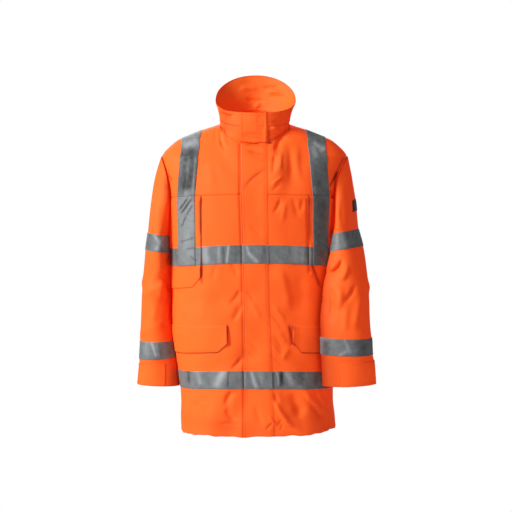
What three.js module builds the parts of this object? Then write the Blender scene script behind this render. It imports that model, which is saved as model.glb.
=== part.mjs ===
// High-visibility work jacket in its worn, hollow shape, with tall collar, storm flap, pocket flaps, cuff tabs
// and reflective tapes. Units are millimetres, +Z is up and the front faces -Y, so the wearer's right is at -X.
// The origin is at neck level, midway between the shoulders. Every piece of cloth is a thin closed wall.
import * as THREE from "three";

// Thicknesses and clearances
const CLOTH = 2;
const FLAP = 1.6;
const TAPE = 1;
const BADGE = 1;
const ZIP = 1.2;
const GAP = 0.3;
const ZIP_DEPTH = 0.4;
const SLEEVE_PROUD = CLOTH + 0.5;
const SLEEVE_CLEARANCE = 8;

// Levels above the outer face of a panel
const ON_PANEL = GAP;
const ON_FLAP = ON_PANEL + FLAP + GAP;
const ON_STORM_FLAP = ON_PANEL + CLOTH + GAP;
const OVER_TAPE = TAPE + GAP;

// Horizontal sections of the body: half width, depth to front and back, squareness and middle
const SECTIONS = table(
  ["z", "half", "front", "back", "square", "midX", "midY"],
  [-845, 211, 141, 139, 2.5, 8, 0],
  [-794, 210, 141, 138, 2.5, 5, 0],
  [-750, 207, 140, 137, 2.5, 3, 0],
  [-712, 208, 140, 137, 2.5, 2, 0],
  [-671, 212, 141, 138, 2.5, 1, 0],
  [-621, 219, 142, 139, 2.5, 1, 0],
  [-547, 227, 144, 141, 2.5, 0, 0],
  [-479, 228, 145, 142, 2.5, 0, 0],
  [-384, 228, 146, 144, 2.5, -1, 0],
  [-296, 233, 147, 147, 2.5, -2, 0],
  [-195, 238, 145, 148, 2.5, -3, 0],
  [-130, 247, 137, 144, 2.45, -4, 2],
  [-92, 251, 124, 137, 2.4, -4, 4],
  [-80, 246, 119, 134, 2.35, -4, 5],
  [-58, 225, 108, 127, 2.3, -4, 6],
  [-44, 207, 102, 122, 2.25, -4, 7],
  [-37, 191, 99, 120, 2.2, -4, 7],
  [-17, 141, 89, 112, 2.15, -4, 8],
  [4, 88, 74, 104, 2.05, -4, 10],
  [18, 85, 70, 98, 2, -4, 12],
  [30, 77, 66, 92, 2, -4, 12],
  [44, 60, 60, 86, 2, -4, 12],
);

// Neck opening: its half width and the heights of its front, sides and back
const NECK = { half: 88, front: -54, side: 4, back: 42, square: 2.2 };

// Armholes: the heights of top and bottom, and how far they reach to the front and to the back
const ARMHOLE = {
  top: -88,
  bottom: -290,
  square: 2.2,
  right: { front: 66, back: 90 },
  left: { front: 84, back: 86 },
};

// Level lines of the body: height at the middle, how far the line drops at the sides, and how far it is lifted
// at the wearer's left
const LINES = table(
  ["name", "z", "drop", "lift"],
  ["hem", -831, 2, 14],
  ["hemFold", -792, 3, 6],
  ["hemMiddle", -747, 6],
  ["hemTapeLow", -703, 11],
  ["hemTapeTop", -656, 10],
  ["pocketLow", -606, 13],
  ["pocketClip", -581, 11],
  ["pocketTop", -533, 8],
  ["waist", -479, 12],
  ["chestFlapLow", -425, 21],
  ["chestFlapClip", -399, 18],
  ["chestTapeLow", -371, 14],
  ["chestTapeTop", -322, 15],
  ["armpit", -290, 0],
  ["lowArmhole", -273, 2],
  ["chest", -253, 4],
  ["upperChest", -231, 6],
  ["underYoke", -209, 8],
  ["yoke", -190, 9],
);
const DROP_WIDTH = 230;

// Rows of a panel above the yoke, closer together towards the shoulder, and the columns from a panel's edge to its
// first upright line
const YOKE_STEPS = 8;
const YOKE_CLUSTER = 1.7;
const EDGE_COLUMNS = 3;

// Upright lines of the front: the x of each at the shoulder or neck, yoke, tape, flap, pocket and hem
const COLUMN_HEIGHTS = { yoke: -195, tape: -385, flap: -436, pocket: -595, hem: -836 };
const COLUMN_KEYS = ["name", "top", "yoke", "tape", "flap", "pocket", "hem"];
const RIGHT_COLUMNS = table(
  COLUMN_KEYS,
  ["tapeOut", -198, -209, -204, -206, -205, -190],
  ["tapeMiddle", -172, -185, -181, -187, -183, -170],
  ["tapeIn", -146, -161, -159, -168, -160, -150],
  ["slit", -118, -144, -144, -144, -135, -124],
  ["neckCorner", -92, -112, -110, -108, -101, -96],
  ["pocketEnd", -88, -92, -88, -84, -73, -74],
  ["throat", -77, -74, -69, -67, -58, -59],
  ["besideFlap", -61, -56, -50, -49, -44, -44],
  ["flapEdge", -42, -39, -33, -32, -29.5, -29],
  ["zip", -13, -10, -6.5, -5.5, -2, 4.5],
);
const LEFT_COLUMNS = table(
  COLUMN_KEYS,
  ["zip", -1, 2, 5.5, 6.5, 10, 16.5],
  ["flapEdge", 29, 31, 33, 34, 40.5, 50],
  ["besideFlap", 49, 48, 50, 51, 58, 66],
  ["throat", 68, 67, 69, 71, 78, 81],
  ["pocketEnd", 80, 86, 88, 90, 97, 97],
  ["neckCorner", 84, 104, 105, 108, 121, 114],
  ["slit", 109, 137, 144, 148, 146, 136],
  ["tapeIn", 134, 149, 150, 170, 166, 158],
  ["tapeMiddle", 160, 172, 169, 183, 182, 174],
  ["tapeOut", 185, 194, 188, 197, 199, 192],
);

// Upright lines of the back, from the left side to the right side
const BACK_COLUMNS = table(
  COLUMN_KEYS,
  ["tapeOut", 185, 194, 190, 190, 190, 188],
  ["tapeMiddle", 160, 170, 166, 166, 166, 164],
  ["tapeIn", 134, 146, 142, 142, 142, 140],
  ["shoulder", 109, 122, 120, 120, 120, 118],
  ["neckCorner", 84, 98, 97, 97, 97, 96],
  ["neck3", 77.3, 76, 75, 75, 75, 75],
  ["neck2", 58.2, 52, 52, 52, 52, 52],
  ["neck1", 29.7, 25, 26, 27, 28, 29],
  ["middle", -4, -3, -1, -1, 0, 4],
  ["neck1", -37.7, -31, -28, -28, -27, -22],
  ["neck2", -66.2, -58, -54, -54, -52, -46],
  ["neck3", -85.3, -82, -77, -77, -75, -70],
  ["neckCorner", -92, -104, -100, -100, -98, -92],
  ["shoulder", -118, -130, -126, -126, -124, -118],
  ["tapeIn", -146, -157, -152, -152, -150, -142],
  ["tapeMiddle", -172, -181, -176, -176, -174, -166],
  ["tapeOut", -198, -205, -200, -200, -198, -190],
);
const BACK_LINES = LINES.filter((line) => line.name !== "pocketClip" && line.name !== "chestFlapClip");

// Large soft folds of the body: middle, direction from level in degrees, length, width and height of each
const FOLD_KEYS = ["side", "x", "z", "turn", "long", "wide", "high"];
const FOLDS = table(
  FOLD_KEYS,
  ["front", 62, -120, 62, 70, 22, 5],
  ["front", 96, -150, 66, 60, 20, -4],
  ["front", -84, -96, -58, 55, 20, -4],
  ["front", -100, -470, 12, 80, 26, -3],
  ["front", 90, -466, -14, 90, 26, -4],
  ["front", 70, -618, -32, 60, 18, 5],
  ["front", 22, -560, -28, 60, 18, -4],
  ["front", -60, -632, 20, 60, 20, -4],
  ["front", 84, -770, 55, 70, 20, 6],
  ["front", 62, -800, 55, 50, 18, -5],
  ["front", 160, -742, -48, 60, 18, 5],
  ["front", -110, -770, 80, 60, 24, 4],
  ["front", -50, -780, 70, 60, 22, -5],
  ["back", -60, -480, 10, 120, 26, 5],
  ["back", 70, -540, -12, 110, 26, -5],
  ["back", 40, -610, 8, 120, 24, 4],
  ["back", -90, -250, -60, 90, 24, -4],
  ["back", 96, -240, 60, 90, 24, -4],
  ["back", 80, -760, 72, 80, 26, 5],
  ["back", -50, -770, 80, 80, 26, 5],
  ["back", -120, -740, 70, 70, 24, -4],
);

// Sleeves: rings from the upper tape to the cuff. Outer and inner heights, how far the ring reaches out and in
// from the middle of the jacket, its middle and half depth along Y, and how far it leans, in degrees
const RING_KEYS = ["name", "zOut", "zIn", "out", "in", "midY", "deep", "lean"];
const RIGHT_RINGS = table(
  RING_KEYS,
  ["tapeTop", -294, -302, 292, 236, 6, 92, 0],
  ["tapeLow", -341, -348, 299, 235, 8, 88, 0],
  ["overElbow", -385, -392, 304, 234, 11, 83, 0],
  ["elbow", -430, -436, 309, 233, 15, 78, 0],
  ["underElbow", -480, -484, 312, 233, 18, 75, 0],
  ["forearm", -536, -538, 314, 232, 21, 71, 0],
  ["tapeTop", -591, -588, 316, 229, 22, 66, 0],
  ["tapeLow", -642, -634, 319, 222, 22, 57, 0],
  ["tabTop", -653, -643, 319, 220, 22, 55, 0],
  ["tabMiddle", -682, -678, 321, 214, 20, 50, 0],
  ["cuff", -710, -714, 324, 209, 18, 46, 0],
);
const LEFT_RINGS = table(
  RING_KEYS,
  ["tapeTop", -285, -297, 280, 202, -26, 96, 14],
  ["tapeLow", -330, -344, 290, 194, -46, 90, 16],
  ["overElbow", -376, -388, 295, 184, -70, 82, 16],
  ["elbow", -424, -431, 298, 177, -92, 74, 14],
  ["underElbow", -473, -477, 300, 172, -109, 68, 11],
  ["forearm", -523, -523, 302, 169, -119, 63, 7],
  ["tapeTop", -568, -566, 305, 171, -122, 60, 5],
  ["tapeLow", -614, -612, 308, 172, -120, 54, 3],
  ["tabTop", -629, -627, 311, 174, -118, 52, 2],
  ["tabMiddle", -661, -663, 314, 176, -112, 47, 1],
  ["cuff", -694, -700, 317, 178, -106, 43, 0],
);
// Rings of the sleeve cap, as shares of the way from the armhole to the upper tape
const CAP_SHARES = [0.1, 0.25, 0.42, 0.587, 0.748, 0.88];
const BADGE_SHARES = [0.587, 0.748];
const CAP_BULGE = { out: 7, deep: 7 };
const SLEEVE_FOLDS = table(
  ["z", "turn", "long", "wide", "high"],
  [-415, 70, 40, 14, -4],
  [-450, 110, 44, 14, 4],
  [-480, 60, 40, 14, -4],
  [-440, 200, 44, 14, 4],
  [-470, 250, 44, 14, -4],
  [-560, 130, 44, 16, 4],
  [-550, 300, 44, 16, 4],
);

// Collar: the rim's middle, half width and depth, and the curve of its height along Y
const RIM = { midX: -1.5, half: 109, front: 106, back: 99, side: 67, slope: 0.55, curve: 0.0015, square: 2.15 };
const COLLAR_STEPS = [0, 0.22, 0.45, 0.72, 0.9, 1];
const COLLAR_BULGE = 4;
const COLLAR_FLAP_COLUMNS = 1;

// Angles round a sleeve, 0 beside the body, 90 in front and 180 outside, that the cuff tab and the badge reach
const CUFF_TAB = { from: 62, to: 300 };
const BADGE_ANGLES = { from: 150, to: 200 };

// Finishes
const ORANGE = { color: 0xff5a23, roughness: 0.75, metalness: 0 };
const SILVER = { color: 0x9a9fa2, roughness: 0.45, metalness: 0.2 };
const BLACK = { color: 0x17181a, roughness: 0.6, metalness: 0 };

function table(names, ...rows) {
  return rows.map((row) => Object.fromEntries(names.map((name, i) => [name, row[i]])));
}

function clamp(value, low, high) {
  return Math.min(Math.max(value, low), high);
}

function mix(a, b, share) {
  return a + (b - a) * share;
}

// A smooth curve through a table's rows that never swings past them
function curve(xs, ys) {
  const slopes = xs.slice(1).map((x, i) => (ys[i + 1] - ys[i]) / (x - xs[i]));
  const tangents = xs.map((_, i) => {
    const before = slopes[Math.max(i - 1, 0)];
    const after = slopes[Math.min(i, slopes.length - 1)];
    return before * after > 0 ? (2 * before * after) / (before + after) : 0;
  });
  return (x) => {
    const found = xs.findIndex((value) => value > x);
    const i = clamp(found < 0 ? xs.length - 2 : found - 1, 0, xs.length - 2);
    const step = xs[i + 1] - xs[i];
    const t = clamp((x - xs[i]) / step, 0, 1);
    const rest = 1 - t;
    return (
      rest * rest * (1 + 2 * t) * ys[i] +
      t * t * (3 - 2 * t) * ys[i + 1] +
      step * t * rest * (rest * tangents[i] - t * tangents[i + 1])
    );
  };
}

const sectionCurves = Object.fromEntries(
  ["half", "front", "back", "square", "midX", "midY"].map((key) => [
    key,
    curve(SECTIONS.map((row) => row.z), SECTIONS.map((row) => row[key])),
  ]),
);

function section(z) {
  return Object.fromEntries(Object.entries(sectionCurves).map(([key, at]) => [key, at(z)]));
}

// A long bump or trough with soft ends, at a place given along and across it
function fold(along, across, row) {
  return row.high * Math.exp(-((along / row.long) ** 2) - (across / row.wide) ** 2);
}

function bodyFold(x, z, side) {
  return FOLDS.filter((row) => row.side === side).reduce((sum, row) => {
    const turn = THREE.MathUtils.degToRad(row.turn);
    const right = x - row.x;
    const up = z - row.z;
    const along = right * Math.cos(turn) + up * Math.sin(turn);
    const across = up * Math.cos(turn) - right * Math.sin(turn);
    return sum + fold(along, across, row);
  }, 0);
}

// The point of the body at an angle round it, 0 at the middle of the front and positive to the wearer's left
function bodyPoint(turn, z) {
  const at = section(z);
  const power = 2 / at.square;
  const sine = Math.sin(turn);
  const cosine = Math.cos(turn);
  const deep = cosine >= 0 ? at.front : at.back;
  const x = at.midX + Math.sign(sine) * at.half * Math.abs(sine) ** power;
  const reach = Math.abs(cosine) ** power;
  const relief = bodyFold(x, z, cosine >= 0 ? "front" : "back") * Math.min(1, 2 * Math.abs(cosine));
  return new THREE.Vector3(x, at.midY - Math.sign(cosine) * (deep * reach + relief), z);
}

function bodyNormal(turn, z) {
  const step = 0.02;
  const rise = 1.5;
  const across = bodyPoint(turn + step, z).sub(bodyPoint(turn - step, z));
  const up = bodyPoint(turn, z + rise).sub(bodyPoint(turn, z - rise));
  return across.cross(up).normalize();
}

// The angle round the body of the point of its front at a given x
function turnAt(x, z) {
  const at = section(z);
  const share = clamp(Math.abs(x - at.midX) / at.half, 0, 1);
  return Math.sign(x - at.midX) * Math.asin(share ** (at.square / 2));
}

// The height at which the shoulder ridge passes a given x
function ridgeHeight(x) {
  let low = ARMHOLE.top;
  let high = NECK.side;
  for (let i = 0; i < 30; i += 1) {
    const middle = (low + high) / 2;
    const at = section(middle);
    if (at.half > Math.abs(x - at.midX)) low = middle;
    else high = middle;
  }
  return low;
}

function neckHeight(x, isBack) {
  const share = clamp(Math.abs(x - section(NECK.side).midX) / NECK.half, 0, 1);
  if (isBack) return mix(NECK.side, NECK.back, Math.sqrt(1 - share * share));
  return mix(NECK.side, NECK.front, (1 - share ** NECK.square) ** (1 / NECK.square));
}

// The angle round the body of the armhole's edge, or of the side seam below it
function edgeTurn(side, z, isBack) {
  const arm = side < 0 ? ARMHOLE.right : ARMHOLE.left;
  const middle = (ARMHOLE.top + ARMHOLE.bottom) / 2;
  const share = clamp(Math.abs(z - middle) / (ARMHOLE.top - middle), 0, 1);
  const isBelow = z <= ARMHOLE.bottom;
  const reach = isBelow ? 0 : (1 - share ** ARMHOLE.square) ** (1 / ARMHOLE.square);
  const at = section(z);
  const depth = isBack ? (arm.back * reach) / at.back : (arm.front * reach) / at.front;
  return side * Math.acos(depth ** (at.square / 2));
}

function lineHeight(line, x) {
  const lift = (line.lift ?? 0) * clamp(x / DROP_WIDTH, 0, 1) ** 3;
  return line.z - line.drop * (x / DROP_WIDTH) ** 2 + lift;
}

function columnCurve(column) {
  const heights = Object.entries(COLUMN_HEIGHTS).reverse();
  return curve(heights.map(([, z]) => z), heights.map(([key]) => column[key]));
}

// Grids of points over the cloth
// A grid's first index runs along i and its second along j, and i crossed with j points out of the cloth.
function grid(columns, wrap = false, normals = null) {
  const made = { columns, wrap, width: columns.length, height: columns[0].length };
  made.normals = normals ?? meshNormals(made);
  return made;
}

function meshNormals({ columns, wrap, width, height }) {
  const at = (i, j) => {
    const column = wrap ? (i + width) % width : clamp(i, 0, width - 1);
    return columns[column][clamp(j, 0, height - 1)];
  };
  return columns.map((column, i) =>
    column.map((_, j) => {
      const across = at(i + 1, j).clone().sub(at(i - 1, j));
      const up = at(i, j + 1).clone().sub(at(i, j - 1));
      return across.cross(up).normalize();
    }),
  );
}

// One panel's grid, from the hem to the neck and shoulders. Places are pairs of angle and height.
function panelPlaces(columns, lines, isBack) {
  const turnOf = (x, z) => {
    const turn = turnAt(x, z);
    return isBack ? Math.sign(turn || 1) * Math.PI - turn : turn;
  };
  const inner = columns.map((column) => {
    const xAt = columnCurve(column);
    const places = lines.map((line) => {
      let z = line.z;
      for (let i = 0; i < 3; i += 1) z = lineHeight(line, xAt(z));
      return { turn: turnOf(xAt(z), z), z };
    });
    const yoke = lines.at(-1);
    const start = lineHeight(yoke, column.yoke);
    const isNeck = Math.abs(column.top - section(NECK.side).midX) < NECK.half - 0.5;
    const end = isNeck ? neckHeight(column.top, isBack) : ridgeHeight(column.top);
    for (let step = 1; step <= YOKE_STEPS; step += 1) {
      const rest = (1 - step / YOKE_STEPS) ** YOKE_CLUSTER;
      const z = mix(end, start, rest);
      const isRidge = step === YOKE_STEPS && !isNeck;
      const ridgeTurn = (Math.sign(column.top) * Math.PI) / 2;
      places.push({ turn: isRidge ? ridgeTurn : turnOf(mix(column.top, column.yoke, rest), z), z });
    }
    return places;
  });
  const edgePlaces = (side, nearest) => {
    const edge = nearest.map((_, j) => {
      if (j < lines.length) {
        const z = lineHeight(lines[j], side * section(lines[j].z).half);
        return { turn: edgeTurn(side, z, isBack), z };
      }
      const rest = (1 - (j - lines.length + 1) / YOKE_STEPS) ** YOKE_CLUSTER;
      const start = lineHeight(lines.at(-1), side * section(lines.at(-1).z).half);
      const z = mix(ARMHOLE.top, start, rest);
      return { turn: edgeTurn(side, z, isBack), z };
    });
    const turned = edge.map(({ turn, z }) => ({ turn: isBack ? side * Math.PI - turn : turn, z }));
    const between = [1 / 3, 2 / 3].map((share) =>
      turned.map((place, j) => ({
        turn: mix(place.turn, nearest[j].turn, share),
        z: mix(place.z, nearest[j].z, share),
      })),
    );
    return [turned, ...between];
  };
  const first = Math.sign(columns[0].top);
  const start = edgePlaces(first, inner[0]);
  const end = edgePlaces(-first, inner.at(-1)).reverse();
  return [...start, ...inner, ...end];
}

function panelGrid(columns, lines, isBack) {
  const places = panelPlaces(columns, lines, isBack);
  return grid(
    places.map((column) => column.map(({ turn, z }) => bodyPoint(turn, z))),
    false,
    places.map((column) => column.map(({ turn, z }) => bodyNormal(turn, z))),
  );
}

// A closed wall from part of a grid. Its faces are the grid's points moved out to two levels, and its edge is
// drawn in by half a gap. Cells in clips lose the corner named, "a" at the lower left or "b" at the lower right.
function wall(source, { from, to, low = 0, high = null, clips = [], inner, outer, slope = () => 0 }) {
  const top = high ?? source.height - 1;
  const count = source.wrap && to === undefined ? source.width : (to ?? source.width - 1) - (from ?? 0);
  const first = from ?? 0;
  const key = (i, j) => ((first + i) % source.width) * source.height + j;
  const triangles = [];
  for (let i = 0; i < count; i += 1) {
    for (let j = low; j < top; j += 1) {
      const clip = clips.find((item) => item.i === first + i && item.j === j);
      const a = key(i, j);
      const b = key(i + 1, j);
      const c = key(i + 1, j + 1);
      const d = key(i, j + 1);
      const rising = clip ? clip.drop === "b" : source.rising?.(first + i, j) ?? true;
      if (rising) {
        if (!clip) triangles.push([a, b, c]);
        triangles.push([a, c, d]);
      } else {
        if (!clip) triangles.push([a, b, d]);
        triangles.push([b, c, d]);
      }
    }
  }
  const point = (id) => source.columns[Math.floor(id / source.height)][id % source.height];
  const normal = (id) => source.normals[Math.floor(id / source.height)][id % source.height];
  const edges = new Map();
  for (const [a, b, c] of triangles) {
    for (const [u, v, w] of [[a, b, c], [b, c, a], [c, a, b]]) {
      if (!edges.delete(v + "," + u)) edges.set(u + "," + v, { u, v, w });
    }
  }
  const pulls = new Map();
  for (const { u, v, w } of edges.values()) {
    const along = point(v).clone().sub(point(u)).normalize();
    const pull = point(w).clone().sub(point(u));
    pull.addScaledVector(along, -pull.dot(along)).normalize();
    for (const id of [u, v]) pulls.set(id, [...(pulls.get(id) ?? []), pull]);
  }
  const moved = (id, level) => {
    const lift = level + slope(id % source.height);
    const place = point(id).clone().addScaledVector(normal(id), lift);
    const pair = pulls.get(id);
    if (!pair) return place;
    const sum = pair[0].clone().add(pair[1] ?? pair[0]);
    return place.addScaledVector(sum, GAP / Math.max(sum.lengthSq(), 1));
  };
  const positions = [];
  const add = (...places) => places.forEach((place) => positions.push(place.x, place.y, place.z));
  for (const [a, b, c] of triangles) {
    add(moved(a, outer), moved(b, outer), moved(c, outer));
    add(moved(c, inner), moved(b, inner), moved(a, inner));
  }
  for (const { u, v } of edges.values()) {
    add(moved(v, outer), moved(u, outer), moved(u, inner));
    add(moved(v, outer), moved(u, inner), moved(v, inner));
  }
  const geometry = new THREE.BufferGeometry();
  geometry.setAttribute("position", new THREE.Float32BufferAttribute(positions, 3));
  geometry.computeVertexNormals();
  return geometry;
}

const jacket = new THREE.Group();
jacket.name = "hi_vis_work_jacket";

function sew(name, finish, geometry) {
  const mesh = new THREE.Mesh(geometry, new THREE.MeshStandardMaterial(finish));
  mesh.name = name;
  jacket.add(mesh);
}

// Body
const frontNames = [
  "rightEdge", "rightEdge1", "rightEdge2",
  ...RIGHT_COLUMNS.map((column) => "right " + column.name),
  ...LEFT_COLUMNS.map((column) => "left " + column.name),
  "leftEdge2", "leftEdge1", "leftEdge",
];
const column = Object.fromEntries(frontNames.map((name, i) => [name, i]));
const row = Object.fromEntries(LINES.map((line, j) => [line.name, j]));
const front = panelGrid([...RIGHT_COLUMNS, ...LEFT_COLUMNS], LINES, false);
front.rising = (i) => (i >= column["right tapeOut"] && i < column["left zip"]) || i >= column["left tapeOut"];
const neckRow = front.height - 1;

const backRow = Object.fromEntries(BACK_LINES.map((line, j) => [line.name, j]));
const back = panelGrid(BACK_COLUMNS, BACK_LINES, true);
const backNames = BACK_COLUMNS.map((column) => column.name);
const backColumn = {
  left: (name) => EDGE_COLUMNS + backNames.indexOf(name),
  right: (name) => EDGE_COLUMNS + backNames.lastIndexOf(name),
};

const CLOTH_WALL = { inner: -CLOTH, outer: 0 };
const onPanel = (thickness, level = ON_PANEL) => ({ inner: level, outer: level + thickness });

function sewBody() {
  sew("back", ORANGE, wall(back, CLOTH_WALL));
  const parts = [
    ["right", 0, column["right zip"]],
    ["left", column["left zip"], front.width - 1],
  ];
  for (const [side, from, to] of parts) {
    sew("front_lower_" + side, ORANGE, wall(front, { from, to, high: row.yoke, ...CLOTH_WALL }));
    sew("front_yoke_" + side, ORANGE, wall(front, { from, to, low: row.yoke, ...CLOTH_WALL }));
  }
}

// Collar
function rimPoint(base) {
  const angle = Math.atan2(base.y, base.x - RIM.midX);
  const cosine = Math.cos(angle);
  const sine = Math.sin(angle);
  const deep = sine < 0 ? RIM.front : RIM.back;
  const sides = (Math.abs(cosine) / RIM.half) ** RIM.square;
  const reach = (sides + (Math.abs(sine) / deep) ** RIM.square) ** (-1 / RIM.square);
  const y = reach * sine;
  return new THREE.Vector3(RIM.midX + reach * cosine, y, RIM.side + RIM.slope * y + RIM.curve * y * y);
}

function collarGrid() {
  const neckOf = (source, from, to) => {
    const step = Math.sign(to - from);
    const indices = Array.from({ length: Math.abs(to - from) + 1 }, (_, k) => from + k * step);
    return indices.map((i) => {
      const edge = source.columns[i][source.height - 1];
      const beside = source.columns[i][source.height - 2];
      const away = edge.clone().sub(beside).normalize();
      return edge.clone().addScaledVector(away, GAP);
    });
  };
  const leftFront = neckOf(front, column["left zip"], column["left neckCorner"]);
  const behind = neckOf(back, backColumn.left("neck3"), backColumn.right("neck3"));
  const rightFront = neckOf(front, column["right neckCorner"], column["right zip"]);
  const bases = [...leftFront, ...behind, ...rightFront];
  return grid(
    bases.map((base) => {
      const rim = rimPoint(base);
      const out = new THREE.Vector3(base.x - RIM.midX, base.y, 0).normalize();
      return COLLAR_STEPS.map((share) =>
        base.clone().lerp(rim, share).addScaledVector(out, COLLAR_BULGE * Math.sin(Math.PI * share)),
      );
    }),
  );
}

const collar = collarGrid();

function sewCollar() {
  sew("collar", ORANGE, wall(collar, CLOTH_WALL));
  const last = collar.width - 1;
  const across = [last - COLLAR_FLAP_COLUMNS, last, 0, COLLAR_FLAP_COLUMNS];
  const places = across.map((i) => collar.columns[i]);
  const normals = across.map((i) => collar.normals[i]);
  sew("collar_flap", ORANGE, wall(grid(places, false, normals), onPanel(FLAP)));
}

// Front fastening
function sewFastening() {
  const sides = [
    { body: column["right zip"], neck: collar.width - 1 },
    { body: column["left zip"], neck: 0 },
  ];
  const places = sides.map(({ body, neck }) => [...front.columns[body], ...collar.columns[neck].slice(1)]);
  sew("front_zip", ORANGE, wall(grid(places), { inner: -ZIP_DEPTH - ZIP, outer: -ZIP_DEPTH }));
  const from = column["right flapEdge"];
  const to = column["left flapEdge"];
  sew("storm_flap", ORANGE, wall(front, { from, to, high: neckRow - 1, ...onPanel(CLOTH) }));
}

// Pocket flaps
const CORNERS = {
  right: { outer: "a", inner: "b" },
  left: { outer: "b", inner: "a" },
};

function sewFlaps() {
  for (const side of ["right", "left"]) {
    const isRight = side === "right";
    const at = (name) => column[side + " " + name];
    const edge = isRight ? 0 : front.width - 1;
    const span = (inner) => (isRight ? { from: edge, to: inner } : { from: inner, to: edge });
    const innerCell = (outward, inward) => (isRight ? at(outward) : at(inward));
    const chestClip = { i: innerCell("tapeIn", "slit"), j: row.chestFlapLow, drop: CORNERS[side].inner };
    sew(
      "chest_flap_" + side,
      ORANGE,
      wall(front, {
        ...span(at("slit")),
        low: row.chestFlapLow,
        high: row.yoke,
        clips: [chestClip],
        ...onPanel(FLAP),
      }),
    );
    const innerClip = { i: innerCell("neckCorner", "pocketEnd"), j: row.pocketLow, drop: CORNERS[side].inner };
    const outerClip = { i: isRight ? 0 : edge - 1, j: row.pocketLow, drop: CORNERS[side].outer };
    sew(
      "pocket_flap_" + side,
      ORANGE,
      wall(front, {
        ...span(at("pocketEnd")),
        low: row.pocketLow,
        high: row.pocketTop,
        clips: [innerClip, outerClip],
        ...onPanel(FLAP),
      }),
    );
  }
}

// Reflective tapes of the body
function sewTapes() {
  const band = { low: row.chestTapeLow, high: row.chestTapeTop };
  const hem = { low: row.hemTapeLow, high: row.hemTapeTop };
  const overBand = (top) => (j) => (j <= top ? OVER_TAPE : 0);
  for (const side of ["right", "left"]) {
    const isRight = side === "right";
    const at = (name) => column[side + " " + name];
    const span = (outward, inward) => (isRight ? { from: outward, to: inward } : { from: inward, to: outward });
    const edge = isRight ? 0 : front.width - 1;
    const brace = span(at("tapeOut"), at("tapeIn"));
    sew("yoke_tape_" + side, SILVER, wall(front, { ...brace, low: row.yoke, ...onPanel(TAPE) }));
    sew(
      "brace_tape_" + side,
      SILVER,
      wall(front, {
        ...brace,
        low: row.chestTapeLow,
        high: row.yoke,
        ...onPanel(TAPE, ON_FLAP),
        slope: overBand(row.chestTapeTop),
      }),
    );
    const beside = span(at("slit"), at("flapEdge"));
    const overFlap = span(edge, at("slit"));
    const across = span(edge, at("flapEdge"));
    sew("chest_tape_" + side, SILVER, wall(front, { ...beside, ...band, ...onPanel(TAPE) }));
    sew("chest_flap_tape_" + side, SILVER, wall(front, { ...overFlap, ...band, ...onPanel(TAPE, ON_FLAP) }));
    sew("hem_tape_" + side, SILVER, wall(front, { ...across, ...hem, ...onPanel(TAPE) }));
    const onBack = backColumn[side];
    const backBrace = isRight
      ? { from: onBack("tapeIn"), to: onBack("tapeOut") }
      : { from: onBack("tapeOut"), to: onBack("tapeIn") };
    sew(
      "back_brace_tape_" + side,
      SILVER,
      wall(back, {
        ...backBrace,
        low: backRow.chestTapeLow,
        ...onPanel(TAPE),
        slope: overBand(backRow.chestTapeTop),
      }),
    );
  }
  const flap = { from: column["right flapEdge"], to: column["left flapEdge"] };
  const onStorm = onPanel(TAPE, ON_STORM_FLAP);
  sew("storm_flap_chest_tape", SILVER, wall(front, { ...flap, ...band, ...onStorm }));
  sew("storm_flap_hem_tape", SILVER, wall(front, { ...flap, ...hem, ...onStorm }));
  const backBand = { low: backRow.chestTapeLow, high: backRow.chestTapeTop };
  const backHem = { low: backRow.hemTapeLow, high: backRow.hemTapeTop };
  sew("chest_tape_back", SILVER, wall(back, { ...backBand, ...onPanel(TAPE) }));
  sew("hem_tape_back", SILVER, wall(back, { ...backHem, ...onPanel(TAPE) }));
}

// Sleeves
function armholePoints(side) {
  const frontEdge = side < 0 ? 0 : front.width - 1;
  const backEdge = side < 0 ? back.width - 1 : 0;
  const inward = side < 0 ? 1 : -1;
  const read = (source, i, step, j) => {
    const edge = source.columns[i][j];
    const away = edge.clone().sub(source.columns[i + step][j]).normalize();
    return edge.clone().addScaledVector(away, GAP).addScaledVector(source.normals[i][j], SLEEVE_PROUD);
  };
  const frontPoints = [];
  for (let j = row.armpit; j <= neckRow; j += 1) frontPoints.push(read(front, frontEdge, inward, j));
  const backPoints = [];
  for (let j = back.height - 2; j > backRow.armpit; j -= 1) backPoints.push(read(back, backEdge, -inward, j));
  if (side < 0) return [...frontPoints, ...backPoints];
  return [frontPoints[0], ...backPoints.reverse(), ...frontPoints.slice(1).reverse()];
}

// Moves a point of a sleeve out of the body, and a clearance away from it
function clearOfBody(point, clearance) {
  const at = section(point.z);
  const right = point.x - at.midX;
  const back = point.y - at.midY;
  const deep = (back < 0 ? at.front : at.back) + clearance;
  const sides = (Math.abs(right) / (at.half + clearance)) ** at.square;
  const share = (sides + (Math.abs(back) / deep) ** at.square) ** (1 / at.square);
  if (share >= 1) return point;
  return new THREE.Vector3(at.midX + right / share, at.midY + back / share, point.z);
}

// The angle of each armhole point round the sleeve: 0 beside the body, 90 degrees at the front, 180 outside
function ringAngles(points, side) {
  const lengths = points.map((point, i) => point.distanceTo(points[(i + 1) % points.length]));
  const corner = points.reduce((best, point, i) => (point.z > points[best].z ? i : best), 0);
  const sum = (from, to) => lengths.slice(from, to).reduce((total, length) => total + length, 0);
  const firstHalf = sum(0, corner);
  const secondHalf = sum(corner, points.length);
  return points.map((_, i) => {
    const isFirst = i <= corner;
    const turn = isFirst ? sum(0, i) / firstHalf : 1 + sum(corner, i) / secondHalf;
    return Math.PI * (side < 0 ? turn : 2 - turn);
  });
}

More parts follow.
